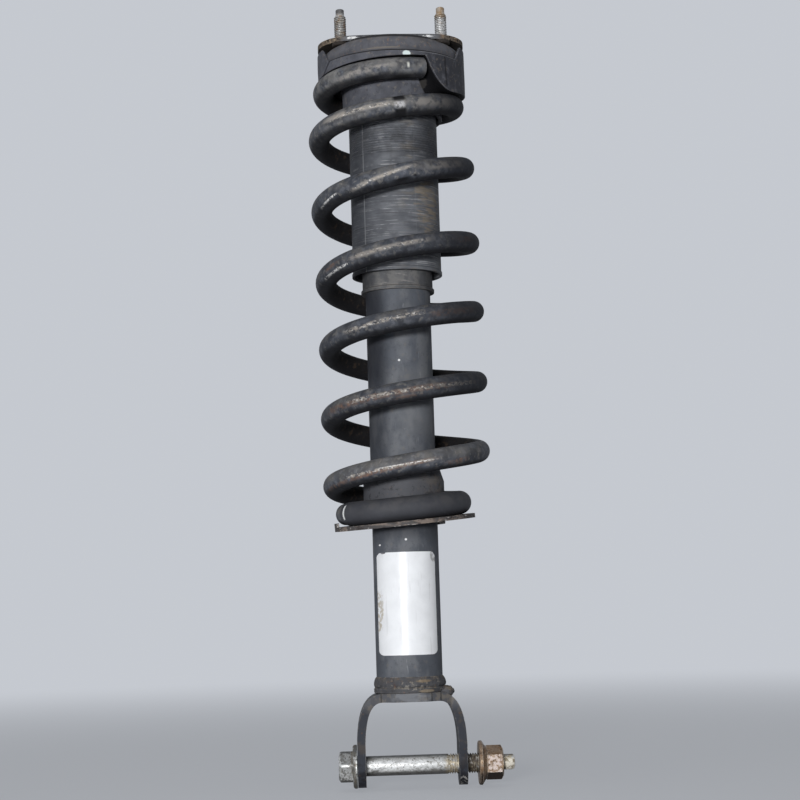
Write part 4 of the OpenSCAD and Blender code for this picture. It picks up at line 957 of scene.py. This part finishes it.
def cap_plastic():
    f = Finish("cap_dusty", (85, 87, 93), 0.68)
    f.shade(0.8, 1.2, 9, 4, 131)
    f.coat(f.grain(7, 5, 132, 0.44, 0.62), (165, 160, 155), 0.8, 0.6)
    f.coat(f.grain(3, 4, 133, 0.58, 0.7, (4, 4, 1)), (260, 250, 235), 0.6, 0.5)
    f.coat(f.edge(0.8), (300, 270, 230), 0.6, 0.5)
    f.coat(f.step(f.math("ABSOLUTE", f.at_x), 12, 30), (24, 25, 30), 0.75, 0.7)
    f.raise_by(f.noise(1.4, 4, 134), 0.08)
    return f.done()


def sleeve_rubber():
    """Matt rubber with a fine dusty bloom and the pale ink mark near its end."""
    f = Finish("sleeve_rubber_matt", (46, 48, 56), 0.66)
    turn, top = f.attribute("turn"), f.attribute("top")
    f.shade(0.88, 1.14, 14, 4, 141)
    f.coat((f.step(top, -0.5, 0.6), f.grain(12, 4, 142, 0.36, 0.62)), (92, 90, 92), 0.75, 0.5)
    # Painted shade on the underside
    f.coat(f.step(top, -0.4, -0.9), (18, 18, 21), 0.75, 0.7)
    mark = f.both(streak(f, turn, top, 0.046, 0.06, 0.052, 0.06, 1.6, 0.0012), f.near(top, 0.1, 0.66, 0.52))
    f.coat(mark, (780, 800, 800), 0.45, 0.9)
    f.raise_by(f.noise(1.2, 3, 143), 0.05)
    return f.done()


def label_film():
    """Blank white sticker film, glossy, grubby at its left edge."""
    f = Finish("label_film_white", (800, 820, 850), 0.28)
    f.shade(0.94, 1.04, 14, 3, 151)
    f.coat((f.spot((-24, -14, 125), (5, 14, 17), 0.6, 5, 5), f.grain(3, 5, 152, 0.42, 0.58)), (420, 350, 250), 0.6, 0.7)
    f.coat(f.grain(2.6, 3, 153, 0.7, 0.78), (500, 490, 460), 0.5, 0.5)
    # The torn upper right corner and the nick at the upper left
    f.coat((f.spot((22.0, -17, 167.5), (3.6, 9, 4.6), 0.4, 2.2, 5), f.grain(2.0, 4, 155, 0.42, 0.52)), (340, 340, 350),
            0.7, 0.8)
    f.coat(f.spot((-19.2, -19, 171.4), (2.4, 8, 1.1), 0.3, 3, 2), (50, 50, 60), 0.6, 0.9)
    f.coat(f.grain(8, 4, 154, 0.6, 0.7, (0.4, 1, 4)), (620, 630, 650), 0.4, 0.4)
    return f.done()


def plain(name, base, rough, metal, size, seed, pale=None, stretch=(1, 1, 1), bump=0.05):
    """A clean inner piece: its own grain, tone and a few marks."""
    f = Finish(name, base, rough, metal)
    f.shade(0.8, 1.2, size, 4, seed, stretch)
    f.coat(f.grain(size * 2.5, 4, seed + 1, 0.52, 0.68), tuple(0.6 * c for c in base), min(1.0, rough + 0.15), 0.5)
    if pale:
        f.coat(f.grain(size, 3, seed + 2, 0.62, 0.72, stretch), pale, rough, 0.5)
    f.raise_by(f.noise(size, 3, seed + 3, stretch), bump)
    return f.done()


FINISHES = {make.__name__: make() for make in (
    spring_paint, black_paint, weld_steel, seat_steel, mount_steel, isolator_rubber, bolt_steel, nut_steel, stud_steel,
    shield_plastic, cap_plastic, sleeve_rubber, label_film)}
FINISHES.update({
    "plain_steel": plain("plain_steel_turned", (420, 420, 430), 0.35, 0.9, 2.5, 161, (600, 600, 600), (3, 3, 1)),
    "rod_chrome": plain("rod_chrome_ground", (660, 670, 690), 0.12, 1.0, 1.2, 171, None, (6, 6, 1), 0.01),
    "sintered_steel": plain("sintered_steel_grainy", (240, 240, 250), 0.55, 0.6, 1.0, 181, (340, 340, 350)),
    "seal_rubber": plain("seal_rubber_black", (35, 35, 37), 0.55, 0.0, 3.0, 191, (70, 70, 70)),
    "bumper_foam": plain("bumper_foam_cells", (550, 460, 270), 0.9, 0.0, 1.1, 201, (680, 600, 400), bump=0.25),
    "band_plastic": plain("band_plastic_bronze", (100, 85, 60), 0.45, 0.0, 2.0, 211, (160, 140, 100), (4, 4, 1)),
})


# ---------------------------------------------------------------- the pieces in their places

def dress(obj, finish):
    obj.data.materials.clear()
    obj.data.materials.append(finish)


SHARP_FROM = math.radians(32)


def round_edges(name, width):
    """A bevel, in mm, on the sharp edges of a CAD node."""
    bevel = nodes[name].modifiers.new("round_edges", "BEVEL")
    bevel.width, bevel.segments, bevel.limit_method = width * MM, 3, "ANGLE"
    bevel.angle_limit, bevel.harden_normals = SHARP_FROM, True


def stand_for(obj, node, slot, body):
    """Shows obj in place of a CAD node, in the slot's finish, on a body if one is named."""
    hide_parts(node)
    dress(obj, FINISHES[slot])
    if body:
        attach(obj, body)
    return obj


make_camera()
make_studio()

for part in frame["record"]["subparts"]:
    dress(nodes[part["node"]], FINISHES[part["material_slot"]])
cup_finish = cup_steel()
dress(nodes["mount_cup"], cup_finish)

spring = stand_for(make_spring(), "coil_spring", "spring_paint", None)
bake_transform(spring)
stand_for(make_sleeve(), "spring_sleeve", "sleeve_rubber", "damper")
stand_for(make_isolator(), "upper_isolator", "isolator_rubber", "upper_mount")
dress(stand_for(make_cup(), "mount_cup", "mount_steel", "upper_mount"), cup_finish)
stand_for(make_bolt(), "clevis_bolt", "bolt_steel", "bolt")
studs = [make_stud(angle, tip) for angle, tip in ((90, "rear"), (210, "left"), (330, "right"))]
for stud in studs:
    stand_for(stud, "tower_studs", "stud_steel", "upper_mount")
stand_for(make_weld("fork_weld_bead", [(TUBE_R, 63.2), (28.6, 63.2), (29.2, 64.0), (29.5, 65.2), (29.4, 66.6),
        (28.9, 68.2), (28.2, 69.8), (27.5, 71.0), (TUBE_R, 71.4)], 4, 46), "fork_weld", "weld_steel", "damper")
stand_for(make_weld("seat_weld_bead", [(TUBE_R, 238.15), (30.5, 238.15), (30.4, 239.2), (29.6, 240.6), (28.6, 241.8),
        (27.6, 242.5), (TUBE_R, 242.75)], 8, 52), "seat_weld", "weld_steel", "damper")

stand_for(make_lump("fork_weld_lump", (29.5, -13, 59), (5.6, 6.5, 4.4), 3), "fork_weld", "weld_steel", "damper")

for name, width in (("clevis_fork", 0.9), ("fork_ring", 0.5), ("mount_plate", 0.5), ("lower_spring_seat", 0.5),
        ("nut_washer", 0.6), ("clevis_nut", 0.4), ("striker_cap", 0.5), ("dust_shield", 0.4)):
    round_edges(name, width)
